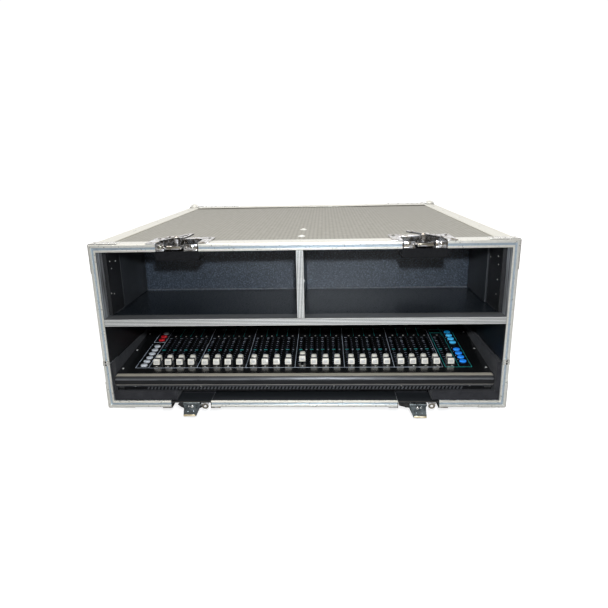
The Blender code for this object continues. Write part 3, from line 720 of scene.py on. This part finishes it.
def bay_linings():
    """The worn seam at the foot of the bays' rear wall, and the dark lining beside the desk."""
    seam = Piece()
    for start, stop in ((-312, DIVIDER[0]), (DIVIDER[1], 309)):
        seam.box((start, 195.2, SHELF_HIGH + 0.1), (stop, 195.9, SHELF_HIGH + 1.1))
    seam.done("bay_back_seam", "cover", [WORN], "bay_board")
    lower = Piece()
    for side in (-1, 1):
        x = span(side, 318.8, 318.2)
        for front, rear in ((1.2, 38), (38, 195)):
            lower.box((x[0], front, SEAM + 0.2), (x[1], rear, SHELF_LOW - 0.2))
    lower.done("desk_bay_lining", "cover", [RACK], "bay_board")


def bolts():
    """Two bolts through the top board."""
    pair = Piece()
    for y in (155, 72):
        spot = facing(-1.4, y, 275, (0, 0, 1))
        pair.lathe([(6, -0.2), (6, 0.5), (5.4, 0.7), (3.6, 0.7)], spot, 0, 24)
        pair.dome(facing(-1.4, y, 275.7, (0, 0, 1)), 3.6, 1.6, 0, 20)
    pair.done("top_bolts", "cover", [BOLT_STEEL], EDGING)


# ---- latches ---------------------------------------------------------------------------------------
UPRIGHT = Matrix(((1, 0, 0, 0), (0, 0, 1, 0), (0, 1, 0, 0), (0, 0, 0, 1)))
WING_LIFT = 7


def mirrored(points):
    """Adds the lower half of an outline to its upper half."""
    return points + [(x, -y) for x, y in reversed(points)]


def latch_dish(name, body, x, hook_x, z, inward, pan_z):
    """Recessed dish of a twist latch: flange plate with rivets round a pan let into the board."""
    dish = Piece()
    # The lower dish's walls, under the case, are in painted latch shade.
    lining = 0 if body == "cover" else 1
    up = (0, 0, -inward)
    out = z - inward * 1.2
    low, high = sorted((z - inward * 0.05, out))
    pan_low, pan_high = sorted((pan_z, z))
    floor_low, floor_high = sorted((pan_z, pan_z + inward * 1.2))
    left, right = x - LATCH_HALF, x + LATCH_HALF
    back = LATCH_DEEP - 0.2
    for side in (-1, 1):
        edge = sorted(x + side * reach for reach in (LATCH_HALF - 1.2, PLATE_HALF))
        dish.soft_box((edge[0], 0.3, low), (edge[1], PLATE_DEEP, high), 0.5)
        for y in (8, 53):
            dish.dome(facing(x + side * 41.5, y, out, up), 3, 1.5)
        wall = sorted(x + side * reach for reach in (LATCH_HALF - 1.2, LATCH_HALF - 0.1))
        dish.box((wall[0], 1.6, pan_low), (wall[1], back, pan_high), lining)
    dish.soft_box((left, LATCH_DEEP - 1.4, low), (right, PLATE_DEEP, high), 0.5)
    dish.dome(facing(x, 54, out, up), 3, 1.5)
    dish.box((left, LATCH_DEEP - 1.4, pan_low), (right, back, pan_high), lining)
    # The pan floor is painted dark as shade: black on the cover, the dark liner on the base.
    dish.box((left + 0.1, 1.6, floor_low), (right - 0.1, back, floor_high), 3)
    if body == "cover":
        cover_dish_front(dish, x, hook_x, z, pan_z)
    else:
        base_dish_front(dish, x)
    dish.done(name, body, [ZINC, ZINC_SHADE, BRONZE, BLACK_AND_SHADE if body == "cover" else LINER], "latch_zinc")


def cover_dish_front(dish, x, hook_x, z, pan_z):
    """Board under the recess, painted black as shade, and two front plates, each with a big rivet and a knob
    beside it.
    """
    front = (0, -1, 0)
    left, right = x - LATCH_HALF, x + LATCH_HALF
    # Board below the rail and the pan's underside, painted black as shade.
    dish.box((left + 0.1, 0.6, pan_z - 0.6), (right - 0.1, 1.5, z - 11.6), 3)
    dish.box((left + 0.1, 1.6, pan_z - 1.9), (right - 0.1, LATCH_DEEP, pan_z - 1.3), 3)
    for side, (start, stop) in zip((-1, 1), ((left + 2, hook_x - 15.4), (hook_x + 15.4, right - 2))):
        dish.soft_box((start, 0.7, z - 10.8), (stop, 1.9, z - 0.9), 0.5)
        dish.soft_box((start, -0.6, z - 10.9), (stop, 1.6, z - 9.6), 0.4)
        middle = (start + stop) / 2
        rivet = facing(middle + side * 1.5, 0.7, z - 5.6, front)
        dish.dome(rivet, 4.2, 1.4, 0, 20)
        dish.lathe([(1.7, 1.2), (1.7, 1.5), (0.3, 1.5)], rivet, 2, 12)
        knob_x = middle - side * 6.4
        dish.dome(facing(knob_x, 0.7, z - 6.4, front), 2.2, 2, 0, 14)
        # A dot of painted latch shade in the knob's front.
        dish.dome(facing(knob_x, -1.2, z - 6.4, front), 1, 0.4, 1, 10)
    # A block under the hub, in painted latch shade.
    dish.soft_box((x - 10, 8, z - 9.5), (x + 10, 16, z - 4.5), 0.8, 1)


def base_dish_front(dish, x):
    """Lock plate of the lower dish: a thin front edge, an eyelet and a catch in painted latch shade."""
    dish.box((x - LATCH_HALF + 1.5, 2.6, 8.6), (x + LATCH_HALF - 1.5, 3.6, 9.8), 2)
    ring_x = x + 22.5
    dish.soft_box((ring_x - 6.4, 3.4, 4), (ring_x + 6.4, 4.6, 9.4), 0.4)
    turns, sides = 28, 8
    ring = []
    for n in range(turns):
        t = 2 * pi * n / turns
        for k in range(sides):
            a = 2 * pi * k / sides
            reach = 4.1 + 1.8 * cos(a)
            ring.append((reach * cos(t), reach * sin(t) * 0.86, 0.9 * sin(a)))
    faces = [(n * sides + k, n * sides + (k + 1) % sides, m * sides + (k + 1) % sides, m * sides + k)
             for n, m in zip(range(turns), (*range(1, turns), 0)) for k in range(sides)]
    dish.faces(ring, faces, 2, facing(ring_x, 4, 0.9, (0, -1, 0)))
    catch = [(-9.5, 4.4), (-3, 9.2), (1.5, 9.2), (1.5, -1.6), (-3, -1.2)]
    if x > 0:
        catch = [(-17.5, 4.6), (-15, 8.6), (1.5, 9.2), (1.5, -2.6), (-4, -1.4), (-16, 1.6)]
    dish.outline(catch, 0, 3, 1, Matrix.Translation((x - 14.5, 3.4, 0)) @ UPRIGHT, 0.4)


def wing_piece(end):
    """Butterfly handle that reaches end each way: two folded lobes with slots, a raised hub and rivets."""
    wing = Piece()
    share = end / 26
    lobe = mirrored([(2.5, 8.4), (7.5, 8.4), (13, 10.5), (18, 13.2), (22.5, 14), (25.2, 11.5),
                     (26, 8)])
    slot = mirrored([(6, 2.6), (8, 3), (12, 3.4), (16, 3.6), (19, 3.6), (20.6, 2.9),
                     (21.2, 1.6)])
    count = len(lobe)
    raised = Matrix.Translation((0, 0, WING_LIFT))
    flat = raised @ Matrix.Rotation(radians(-8), 4, "Y") @ Matrix.Rotation(radians(6), 4, "X")
    for side in (-1, 1):
        ring = [(side * x * share, y, h) for edge in (lobe, slot) for h in (-1, 1) for x, y in edge]
        faces = []
        for i in range(count):
            j = (i + 1) % count
            faces.append((count + i, count + j, 3 * count + j, 3 * count + i))
            faces.append((i, j, count + j, count + i))
            faces.append((2 * count + i, 3 * count + i, 3 * count + j, 2 * count + j))
            faces.append((i, 2 * count + i, 2 * count + j, j))
        # Upper faces in bright zinc; edges, slot walls and undersides in painted shade.
        wing.faces(ring, faces, [0, 1, 1, 1] * count, flat)
        fold = span(side, end - 2.8, end - 0.4)
        wing.soft_box((fold[0], -8, 0.4), (fold[1], 8, 1.3), 0.4, 0, flat)
        for y in (-8.6, 8.6):
            wing.dome(flat @ Matrix.Translation((side * 17.5 * share, y, 1)), 1.9, 0.9)
    boss = 5.9 if share == 1 else 3.9
    wing.lathe([(boss, -15.1), (boss, -2), (8.6, -1.2), (8.6, 0.6), (7.8, 1.3), (4.4, 1.4), (4, 2),
                (1.2, 2.2)], raised, 0, 28)
    return wing


def hook_barrel():
    """The rolled barrel that a hook plate hangs from."""
    hook = Piece()
    hook.lathe([(2, -14.5), (2.8, -13.9), (2.8, 13.9), (2, 14.5)], Matrix.Rotation(pi / 2, 4, "Y"), 0, 18)
    return hook


def hook_piece(length):
    """Hook plate on a rolled barrel, with a folded lip and two rivets."""
    hook = hook_barrel()
    half = 12.5
    hook.soft_box((-half, -1, -length + 0.2), (half, 1, 1), 0.5)
    hook.soft_box((-half + 1, -3.2, -length), (half - 1, 0, -length + 3.4), 0.7, 1)
    for side in (-1, 1):
        hook.dome(facing(side * 6.5, -1, -length * 0.48, (0, -1, 0)), 2, 0.9)
    hook.soft_box((-3, -2.2, -length * 0.62), (3, -0.8, -4), 0.5)
    return hook


def hanging_hook(side, length):
    """The lower hooks are wider, with one slanted edge, a pale lip and a bright pin at their top."""
    hook = hook_barrel()
    foot = -length + 0.4
    plate = ((-12.4, 0.8), (-14.4, foot), (7.2, foot), (13.9, -6.5), (13.9, 0.8))
    hook.outline([(-side * x, z) for x, z in plate], -1, 1, 0, UPRIGHT, 0.3)
    lip = span(side, 13.8, -6.2)
    hook.soft_box((lip[0], -3.2, -length), (lip[1], -0.4, -length + 3.2), 0.7, 1)
    hook.dome(facing(side * -0.6, -1, -4.9, (0, -1, 0)), 2.6, 1.2, 2, 16)
    hook.soft_box((side * 5 - 1, -1.8, -6), (side * 5 + 1, -0.8, -2.6), 0.4, 2)
    for x in (-7, 3):
        hook.dome(facing(-side * x, -1, -length * 0.66, (0, -1, 0)), 1.8, 0.7)
    return hook


def latch_part(shape, name, part, materials, spot):
    """A moving part of a latch, which stands for the CAD node of the same kind."""
    node = f"{name}_{'wing' if part == 'butterfly' else 'hook'}"
    shape.done(f"{name}_{part}", node, materials, "latch_zinc", (node,), CASE @ spot)


def latches():
    """Two latches on the cover's top and two under the tray, whose hooks hang down."""
    turn = {side: Matrix.Rotation(radians(angle), 4, "Z") for side, angle in (("left", -16), ("right", 164))}
    drop = {"left": 0, "right": 3}
    for side, gap_x, x in TOP_LATCHES:
        name = f"top_latch_{side}"
        latch_dish(name + "_dish", "cover", gap_x, x, HIGH, -1, 252)
        spot = Matrix.Translation((x, 21.5, HIGH)) @ turn[side]
        latch_part(wing_piece(26), name, "butterfly", [ZINC, ZINC_SHADE], spot)
        spot = Matrix.Translation((x, 12, 269)) @ Matrix.Rotation(-pi / 2, 4, "X")
        latch_part(hook_piece(14.5), name, "claw", [ZINC, BRONZE], spot)
    for side, gap_x, x in BOTTOM_LATCHES:
        name = f"bottom_latch_{side}"
        latch_dish(name + "_dish", "base", gap_x, x, 0, 1, 8.4)
        spot = Matrix.Translation((x, 24, 0)) @ turn[side] @ Matrix.Rotation(pi, 4, "Y")
        # The lower wings, under the case, are all in painted shade.
        latch_part(wing_piece(18), name, "butterfly", [ZINC_SHADE, ZINC_SHADE], spot)
        spot = Matrix.Translation((x, 3, 6.5 - drop[side])) @ Matrix.Rotation(radians(-14), 4, "X")
        lean = -1 if side == "left" else 1
        latch_part(hanging_hook(lean, 21.5), name, "claw", [HOOK_STEEL, CREAM_METAL, PLATED], spot)


# ---- desk ------------------------------------------------------------------------------------------
PRINT = 0.12


def mark(piece, u, y, w, d, finish):
    """A printed mark on the fader panel, w across and d deep."""
    piece.box((-w / 2, -d / 2, 0), (w / 2, d / 2, PRINT), finish, on_panel(u, y))


def line(piece, start, stop, width, finish):
    """A printed line between two (u, y) points of the fader panel."""
    (u0, y0), (u1, y1) = start, stop
    length = ((u1 - u0) ** 2 + (y1 - y0) ** 2) ** 0.5
    turn = Matrix.Rotation(atan2(y1 - y0, u1 - u0), 4, "Z")
    piece.box((-length / 2, -width / 2, 0), (length / 2, width / 2, PRINT), finish,
              on_panel((u0 + u1) / 2, (y0 + y1) / 2) @ turn)


def frame_marks(piece, low, high, width, finish):
    (u0, y0), (u1, y1) = low, high
    line(piece, (u0, y0), (u1, y0), width, finish)
    line(piece, (u0, y1), (u1, y1), width, finish)
    line(piece, (u0, y0), (u0, y1), width, finish)
    line(piece, (u1, y0), (u1, y1), width, finish)


def panel_print():
    """Generic scale marks: no lettering."""
    marks = Piece()
    white, grey, teal = 0, 1, 2
    for u in (-264, -180, -96, -12, 72, 156):
        line(marks, (u, 34.8), (u, 200), 0.8, white)
    line(marks, (-264, 34.5), (236.6, 34.5), 0.9, white)
    for n, u in enumerate(FADER_XS, 1):
        for row in range(14):
            y = 48 + row * 8.25
            finish = white if row in (11, 13) else grey
            mark(marks, u - 5.6, y, 4.2 if row % 2 else 2.6, 1.3, finish)
            mark(marks, u + 4.8, y, 1.8, 0.8, grey)
        mark(marks, u - 4.6, 104.4, 6.4, 2.6, teal)
        mark(marks, u + 5.4, 104.4, 2.6, 2.2, white)
        mark(marks, u, 74, 3.4, 1.6, grey)
        if n % 4 != 0:
            line(marks, (u + 10, 163), (u + 10, 200), 0.6, teal)
    frame_marks(marks, (241, 34.7), (284.7, 190), 0.7, teal)
    line(marks, (264, 34.7), (264, 190), 0.6, teal)
    line(marks, (240, 174.7), (263, 174.7), 2.6, teal)
    line(marks, (236.6, 34.8), (236.6, 190), 0.7, white)
    for low, high in ((34.8, 131), (138, 190)):
        line(marks, (-286.5, low), (-286.5, high), 0.9, white)
        line(marks, (-286.5, low), (-265, low), 0.9, white)
    for y in LEFT_KEYS:
        mark(marks, -265.2, y + 2, 1.2, 3, grey)
    for y in RIGHT_KEYS:
        mark(marks, 267.9, y + 7, 1.3, 1.3, white)
    marks.done("fader_panel_print", "base", [LIGHT_PRINT, GREY_PRINT, TEAL_PRINT], "desk_steel")


def panel_screws():
    """Screws of the panel and of each fader, and dark strips of painted shade along the fader slots."""
    screws = Piece()
    for side in (-1, 1):
        for y in (33.3, 105.5, 179):
            screws.screw(on_panel(side * 307.6, y), 1.9, 0.9)
    for u in FADER_XS:
        for y in (164.5, 40):
            screws.screw(on_panel(u + 0.8, y), 1.5, 0.6)
    screws.done("fader_panel_screws", "base", [STEEL, BLACK_AND_SHADE], "desk_steel")
    slots = Piece()
    for u in FADER_XS:
        edge = on_panel(u, 100)
        for side in (-1, 1):
            # Painted shade in place of the open slot.
            slots.box((side * 1.9 - 0.35, -57.3, 0), (side * 1.9 + 0.35, 57.3, 0.25), 0, edge)
    slots.done("fader_slot_shade_strips", "base", [BLACK_AND_SHADE], "desk_steel")


def armrest():
    """Rounded front profile with its lip; its ends draw in a little. Its finish changes with height, in bands
    of painted highlight, painted shade and painted dark reflection.
    """
    bands = (39.2, 40.7, 48.2, 50.9, 54.5, 56.4)
    # By height: underside, lip, painted dark reflection, painted cool highlight, painted shade, painted warm
    # highlight, and painted dark reflection again on top.
    finishes = [REST_UNDER, REST_LIP, REST_DARK_REFLECTION, REST, REST_SHADE, REST_WARM_HIGHLIGHT, REST_DARK_REFLECTION]
    ends = ((-311.7, 0.8), (-311.2, 0.9), (-310, 0.97), (-308.4, 1),
            (309.6, 1), (311.2, 0.97), (312.4, 0.9), (312.9, 0.8))
    back, shoulder = 14.5, 12.6
    centre_y, centre_z = 11, 46
    steps, first_turn = 36, 0.42
    outline = [(back, 36), (back, panel_height(back)), (shoulder, panel_height(shoulder) - 0.3)]
    for i in range(steps + 1):
        turn = first_turn + (pi - first_turn) * i / steps
        height = 45.1 + 10.2 * cos(turn)
        lip = 0.5 if bands[0] < height < bands[1] else 0
        outline.append((9 - (6 + lip) * sin(turn), height))
    outline += [(11.7, 34.9), (11.7, 36)]
    points = [(DESK_X + x, centre_y + (y - centre_y) * (share if y < centre_y else 1),
               centre_z + (z - centre_z) * share) for x, share in ends for y, z in outline]
    middles = [(here[1] + ahead[1]) / 2 for here, ahead in zip(outline, outline[1:] + outline[:1])]
    by_height = [sum(middle > band for band in bands) for middle in middles]
    rest = Piece()
    rest.faces(points, tube(len(outline), len(ends)), by_height * (len(ends) - 1) + [1, 1])
    rest.done("armrest_profile", "base", finishes, "armrest_profile", ("desk_armrest",), angle=40)


def vent_strip():
    """Leaning ribs over a black strip of painted shade, and six screws under the armrest."""
    vents = Piece()
    face_y, low = 11.9, 28.4
    lean = Matrix(((1, 0, 2.2 / 5.8, 0), (0, 1, 0, 0), (0, 0, 1, 0), (0, 0, 0, 1)))
    for n in range(88):
        spot = Matrix.Translation((DESK_X - 261 + n * 6, face_y, low))
        vents.box((0, -0.7, 0), (2.6, 0, 5.8), 0, spot @ lean)
    # A black strip of painted shade behind the ribs, for the dark vent openings.
    vents.box((DESK_X - 300, face_y - 0.1, 26.8), (DESK_X + 300, face_y, 35.6), 1)
    vents.done("front_vent_ribs", "base", [REST_UNDER, BLACK_AND_SHADE], "desk_steel")
    screws = Piece()
    for n in range(6):
        screws.screw(facing(-282 + n * 110.6, 6.4, 36.6, (0, -0.75, -0.66)), 1.5, 0.6)
    screws.done("armrest_screws", "base", [STEEL, BLACK_AND_SHADE], "desk_steel")


def cap_piece():
    """Fader cap: ribbed front slope, a waist in painted shade, and a rounded cream hump behind, with a slab
    of painted shade over its lower front.
    """
    cap = Piece()

    def layer(outline, half, finish, round_by):
        """A slice of the cap, seen from its side; only its upper rims are rounded."""
        part = drawn_out([(-half, y, z) for y, z in outline], (2 * half, 0, 0))
        rim = [e for e in part.edges if abs(abs(e.verts[0].co.x) - half) < 1e-6
               and abs(e.verts[0].co.x - e.verts[1].co.x) < 1e-6 and max(v.co.z for v in e.verts) > 3]
        bmesh.ops.bevel(part, geom=rim, offset=round_by, segments=3, profile=0.5, affect="EDGES")
        cap.take(part, finish)

    layer([(0.3, 2.2), (0.4, 3.2), (3.3, 9.8), (4.2, 10.8), (5.3, 10.9), (6.3, 9.8), (6.3, 2.2)],
          5.35, 1, 0.5)
    # The waist is painted shade.
    layer([(6.1, 2.2), (6.1, 8.2), (8, 6.9), (10.6, 6.4), (13.4, 6.8), (13.4, 2.2)], 4.4, 3, 0.4)
    for n in range(5):
        y = 1.15 + n * 0.45
        z = 4.3 + n * 0.99
        cap.soft_box((-3.6, y - 0.5, z - 0.26), (3.6, y + 0.2, z + 0.26), 0.12, 0, segments=1)
    for n in range(5):
        x = -2.6 + n * 1.3
        rib = Matrix.Translation((x, 2.05, 6.3)) @ Matrix.Rotation(radians(-24), 4, "X")
        cap.soft_box((-0.16, -0.42, -2.5), (0.16, 0.3, 2.5), 0.08, 4, rib, 1)
    layer([(12.6, 2.2), (12.8, 7), (13.6, 9.4), (15.4, 11.4), (18.2, 12.3), (20.9, 11.9), (22.8, 10.2),
           (23.6, 8), (23.8, 2.2)], 4.6, 1, 2.3)
    # A slab of painted shade over the hump's lower front.
    cap.soft_box((-4.7, 12.2, 2.2), (4.7, 14, 9.4), 0.4, 3)
    cap.box((-0.7, 8, -7.9), (0.7, 12, 3), 2)
    return cap


def faders():
    """One cap for each fader. They share a mesh that is built about the cap's own origin."""
    finishes = [CAP_GRID, CAP_CREAM, BLACK_AND_SHADE, CAP_SHADE, CAP_WHITE]
    shared = cap_piece().mesh("fader_01_cap", finishes, Matrix.Scale(MM, 4), 38)
    for n, u in enumerate(FADER_XS, 1):
        lift = MASTER_LIFT if n == MASTER else 0
        name = f"fader_{n:02d}"
        obj = add_object(name + "_cap", shared)
        obj.matrix_world = CASE @ on_panel(u, CAP_FRONT + lift * cos(SLOPE)) @ Matrix.Scale(1 / MM, 4)
        attach(obj, name, (name,))


def keys():
    """Oval domed keys."""
    size = Matrix.Diagonal((5.8, 4.5, 1, 1))
    profile = [(0.9, -3.9), (1, -3.7), (1, 1.1), (0.97, 1.45), (0.9, 1.7), (0.78, 1.85), (0.55, 1.95),
               (0.05, 2)]
    colours = {"left": ["key_white"] * 6 + ["key_red"] * 2 + ["key_white"],
               "right": ["key_blue"] * 4 + ["key_pale_blue"] * 4}
    for (_, side), u, spots in zip(SIDES, KEY_X, (LEFT_KEYS, RIGHT_KEYS)):
        for n, (y, colour) in enumerate(zip(spots, colours[side]), 1):
            key = Piece()
            key.lathe(profile, size, 0, 32)
            node = f"key_{side}_{n:02d}"
            key.done(node + "_button", node, [KEY_FINISH[colour]], colour, (node,), CASE @ on_panel(u, y))


def rear_panel():
    """Raised part of the desk behind the faders, in the case's shade: a dark screen, knobs and sockets."""
    details = Piece()
    slope = atan2(205 - panel_height(200), 300)

    def up(u, s, lift=0):
        """A spot s behind the foot of the raised panel, measured along it."""
        start = Matrix.Translation((DESK_X + u, 200, panel_height(200)))
        return start @ Matrix.Rotation(slope, 4, "X") @ Matrix.Translation((0, s, lift))

    details.soft_box((-110, -62, 0), (110, 62, 2.6), 1.6, 0, up(60, 190))
    details.soft_box((-101, -54, 2.6), (101, 54, 3), 0.15, 1, up(60, 190), 1)
    for row in range(3):
        for n in range(8):
            details.lathe([(7, 0), (7, 1), (5.6, 2), (5.2, 11), (4.6, 12), (0.3, 12)],
                          up(-270 + n * 24, 130 + row * 34), 0, 20)
            details.box((-0.4, 1.2, 12), (0.4, 5, 12.2), 2, up(-270 + n * 24, 130 + row * 34))
    for row in range(4):
        for n in range(4):
            details.soft_box((-5.5, -3.5, 0), (5.5, 3.5, 2.2), 0.8, 2, up(208 + n * 24, 120 + row * 28))
    for n in range(24):
        details.soft_box((-5, -3.2, 0), (5, 3.2, 2), 0.7, 2, up(FADER_XS[n], 28))
        details.soft_box((-5, -3.2, 0), (5, 3.2, 2), 0.7, 0, up(FADER_XS[n], 48))
    details.done("rear_panel_controls", "base", [KNOB, GLASS, CAP_WHITE], "desk_steel")
    back = Piece()
    for n in range(16):
        for row in range(2):
            spot = facing(DESK_X - 268 + n * 26, 520, 168 - row * 34, (0, 1, 0))
            back.lathe([(11, 0), (11, 1.4), (9.8, 2), (8.6, 2), (8.2, 0.6), (0.3, 0.6)], spot, 0, 24)
            for pin in range(3):
                t = pi / 2 + pin * 2 * pi / 3
                hole = spot @ Matrix.Translation((4 * cos(t), 4 * sin(t), 0))
                back.lathe([(1.2, 0.6), (1.2, 1.2)], hole, 1, 8)
    back.soft_box((DESK_X + 190, 520, 128), (DESK_X + 240, 524, 160), 1.5)
    back.soft_box((DESK_X + 196, 523.9, 133), (DESK_X + 234, 524.6, 155), 0.3, 2)
    back.done("rear_sockets", "base", [KNOB, STEEL, BLACK_AND_SHADE], "desk_steel")


# ---- foam ------------------------------------------------------------------------------------------
def foam():
    """Foam lining cut from sheet: floor, side walls with a ledge, two front blocks and a rear compartment."""
    left, right = -FOAM_HALF, FOAM_HALF
    blocks = [
        ((left, 42, 9.9), (right, FOAM_END, 25.8), 1),                      # floor
        ((-212, 36.4, 9.9), (209.5, 42.6, 25.8), 1),
        ((left, 2.2, 12.8), (-212, 42.4, 27.8), 1.4),                         # front blocks
        ((209.5, 2.2, 12.8), (right, 42.4, 27.8), 1.4),
        ((left, 16, 25), (-317, FOAM_END, FOAM_TOP), 0.7),                # side walls
        ((left, 2.2, 25), (-316.1, 16.6, FOAM_TOP), 0.7),
        ((311.4, 2.2, 25), (right, FOAM_END, FOAM_TOP), 0.7),
        ((left, 523, 25), (right, 539.6, FOAM_TOP), 1.4),                   # rear compartment
        ((left, 634, 25), (right, FOAM_END, FOAM_TOP), 1.4),
        ((left, 539, 25), (-300.2, 635, 79), 1.4),
        ((300.2, 539, 25), (right, 635, 79), 1.4)]
    lining = Piece()
    for low, high, radius in blocks:
        lining.soft_box(low, high, radius, segments=3)
    obj = lining.done("foam_lining", "base", [FOAM], "foam", ("foam_bed",))


# ---- base boards and feet --------------------------------------------------------------------------
def base_boards():
    """The tray's boards: the CAD solid without its feet, which have their own pieces."""
    part = bmesh.new()
    part.from_mesh(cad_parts["base_tray"].data)
    everything = part.verts[:] + part.edges[:] + part.faces[:]
    over_feet = UNDER + 1.61 * MM
    cut = bmesh.ops.bisect_plane(part, geom=everything, plane_co=(0, 0, over_feet), plane_no=(0, 0, 1),
                                 clear_inner=True)
    rim = [g for g in cut["geom_cut"] if isinstance(g, bmesh.types.BMEdge)]
    bmesh.ops.holes_fill(part, edges=rim)
    mesh = bpy.data.meshes.new("base_boards")
    part.to_mesh(mesh)
    part.free()
    mesh.materials.append(BOARD)
    attach(add_object("base_boards", mesh), "base", ("base_tray",))
    sill = Piece()
    left, right = (latch[1] for latch in BOTTOM_LATCHES)
    sill.soft_box((left + LATCH_HALF + 1, 2.4, 12.32), (right - LATCH_HALF - 1, 36.2, 13.2), 0.3)
    sill.done("front_sill_lining", "base", [LINER], "laminate")
    feet = Piece()
    for x, y in ((-262, 72), (262, 72), (-262, 590), (262, 590)):
        spot = Matrix.Translation((x, y, 0)) @ Matrix.Rotation(pi, 4, "X")
        feet.lathe([(18.9, 0), (18.9, 2), (18.2, 3.4), (16.6, 23), (15.2, 25.6), (13.6, 26),
                    (7, 26), (6.4, 25), (6.2, 8), (0.4, 8)], spot, 0, 40)
        feet.lathe([(5.6, 8), (5.6, 10.5), (4, 11.4), (0.4, 11.4)], spot, 1, 20)
    feet.done("rubber_feet", "base", [RUBBER, STEEL], "laminate")


def dress(node, finish):
    """Gives a CAD node that stays in view its procedural finish."""
    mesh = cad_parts[node].data
    mesh.materials.clear()
    mesh.materials.append(finish)


# ---- camera, light and floor -----------------------------------------------------------------------
FRONT_GLOW, REAR_GLOW = 0.16, 0.95
BACKDROP_GLOW = 1.05
FLOOR_GLOW = 0.85


def photo_camera():
    data = bpy.data.cameras.new("camera")
    data.lens = 30.587
    data.sensor_width = 36
    camera = add_object("camera", data)
    yaw, pitch, roll = -0.0425729, 0.2727504, -0.0200758
    forward = Vector((sin(yaw) * cos(pitch), cos(yaw) * cos(pitch), -sin(pitch)))
    right = Vector((cos(yaw), -sin(yaw), 0))
    up = right.cross(forward)
    tilted_right = right * cos(roll) + up * sin(roll)
    tilted_up = up * cos(roll) - right * sin(roll)
    axes = Matrix((tilted_right, tilted_up, -forward)).transposed().to_4x4()
    eye = (0.03656, FRONT - 0.77936, UNDER + 0.39704)
    camera.matrix_world = Matrix.Translation(eye) @ axes
    bpy.context.scene.camera = camera


def area_light(name, at, target, size, power, colour):
    data = bpy.data.lights.new(name, "AREA")
    data.shape = "DISK"
    data.size = size
    data.energy = power
    data.color = colour
    light = add_object(name, data)
    light.location = at
    light.rotation_euler = (Vector(target) - Vector(at)).to_track_quat("-Z", "Y").to_euler()


def soft_world():
    """White behind the object and above it, dimmer in front; what the camera sees directly is plain white."""
    world = bpy.data.worlds.new("studio")
    world.use_nodes = True
    tree = world.node_tree
    where = add_node(tree, "ShaderNodeTexCoord").outputs["Generated"]
    depth = add_node(tree, "ShaderNodeSeparateXYZ", Vector=where).outputs["Y"]
    glow = add_node(tree, "ShaderNodeMapRange", Value=depth, From_Min=-0.3, From_Max=0.5,
                    To_Min=FRONT_GLOW, To_Max=REAR_GLOW).outputs["Result"]
    seen = add_node(tree, "ShaderNodeLightPath").outputs["Is Camera Ray"]
    strength = add_node(tree, "ShaderNodeMix", Factor=seen, A=glow, B=BACKDROP_GLOW)
    sky = tree.nodes["Background"]
    sky.inputs["Color"].default_value = (1, 0.995, 0.985, 1)
    tree.links.new(strength.outputs["Result"], sky.inputs["Strength"])
    bpy.context.scene.world = world


def floor_finish():
    """Pale paper sweep. It glows a little to the camera, so that it merges with the white behind."""
    made = grained("floor_paper", (0.44, 0.44, 0.44), (0.46, 0.46, 0.46), 0.9, 20, strength=0)
    tree = made.node_tree
    shader = tree.nodes["Principled BSDF"]
    seen = add_node(tree, "ShaderNodeLightPath").outputs["Is Camera Ray"]
    glow = tree.nodes.new("ShaderNodeMath")
    glow.operation = "MULTIPLY"
    glow.inputs[1].default_value = FLOOR_GLOW
    tree.links.new(seen, glow.inputs[0])
    shader.inputs["Emission Color"].default_value = (1, 1, 1, 1)
    tree.links.new(glow.outputs["Value"], shader.inputs["Emission Strength"])
    return made


def studio():
    """Floor, world and two soft lights: one near the camera and one overhead."""
    reach, thickness = 20, 0.02
    floor = Piece()
    floor.box((-reach, -reach, -thickness), (reach, reach, 0))
    bmesh.ops.recalc_face_normals(floor.bm, faces=floor.bm.faces)
    mesh = bpy.data.meshes.new("floor")
    floor.bm.to_mesh(mesh)
    floor.bm.free()
    mesh.materials.append(floor_finish())
    add_object("floor", mesh)
    soft_world()
    flash_at, flash_aim = (0.056, FRONT - 0.779, UNDER + 0.484), (0, FRONT + 0.1, UNDER + 0.1)
    area_light("flash", flash_at, flash_aim, 0.04, 6.7, (0.88, 0.94, 1))
    overhead_at, overhead_aim = (-0.2, FRONT - 0.4, UNDER + 2.2), (0, FRONT + 0.3, UNDER + 0.1)
    area_light("overhead", overhead_at, overhead_aim, 1.6, 22, (1, 0.96, 0.88))
    bpy.context.scene.view_settings.view_transform = "Standard"


case_edging("cover", HIGH, SEAM, RING_TOP, TOP_LATCHES)
case_edging("base", 0, SEAM - SEAM_GAP, RING_BOTTOM, BOTTOM_LATCHES)
case_hardware("cover", HIGH, SEAM)
case_hardware("base", 0, SEAM - SEAM_GAP)
rear_strap()
panels()
bay_channels()
rack_strips()
bay_linings()
bolts()
latches()
dress("cover_shell", BOARD)
dress("shelf_board", SATIN_BLUE_REFLECTION)
dress("divider_panel", SATIN_BLUE_REFLECTION)
dress("bay_back_panel", SPECKLED)
dress("desk_chassis", DESK)
base_boards()
foam()
armrest()
vent_strip()
panel_print()
panel_screws()
faders()
keys()
rear_panel()
photo_camera()
studio()
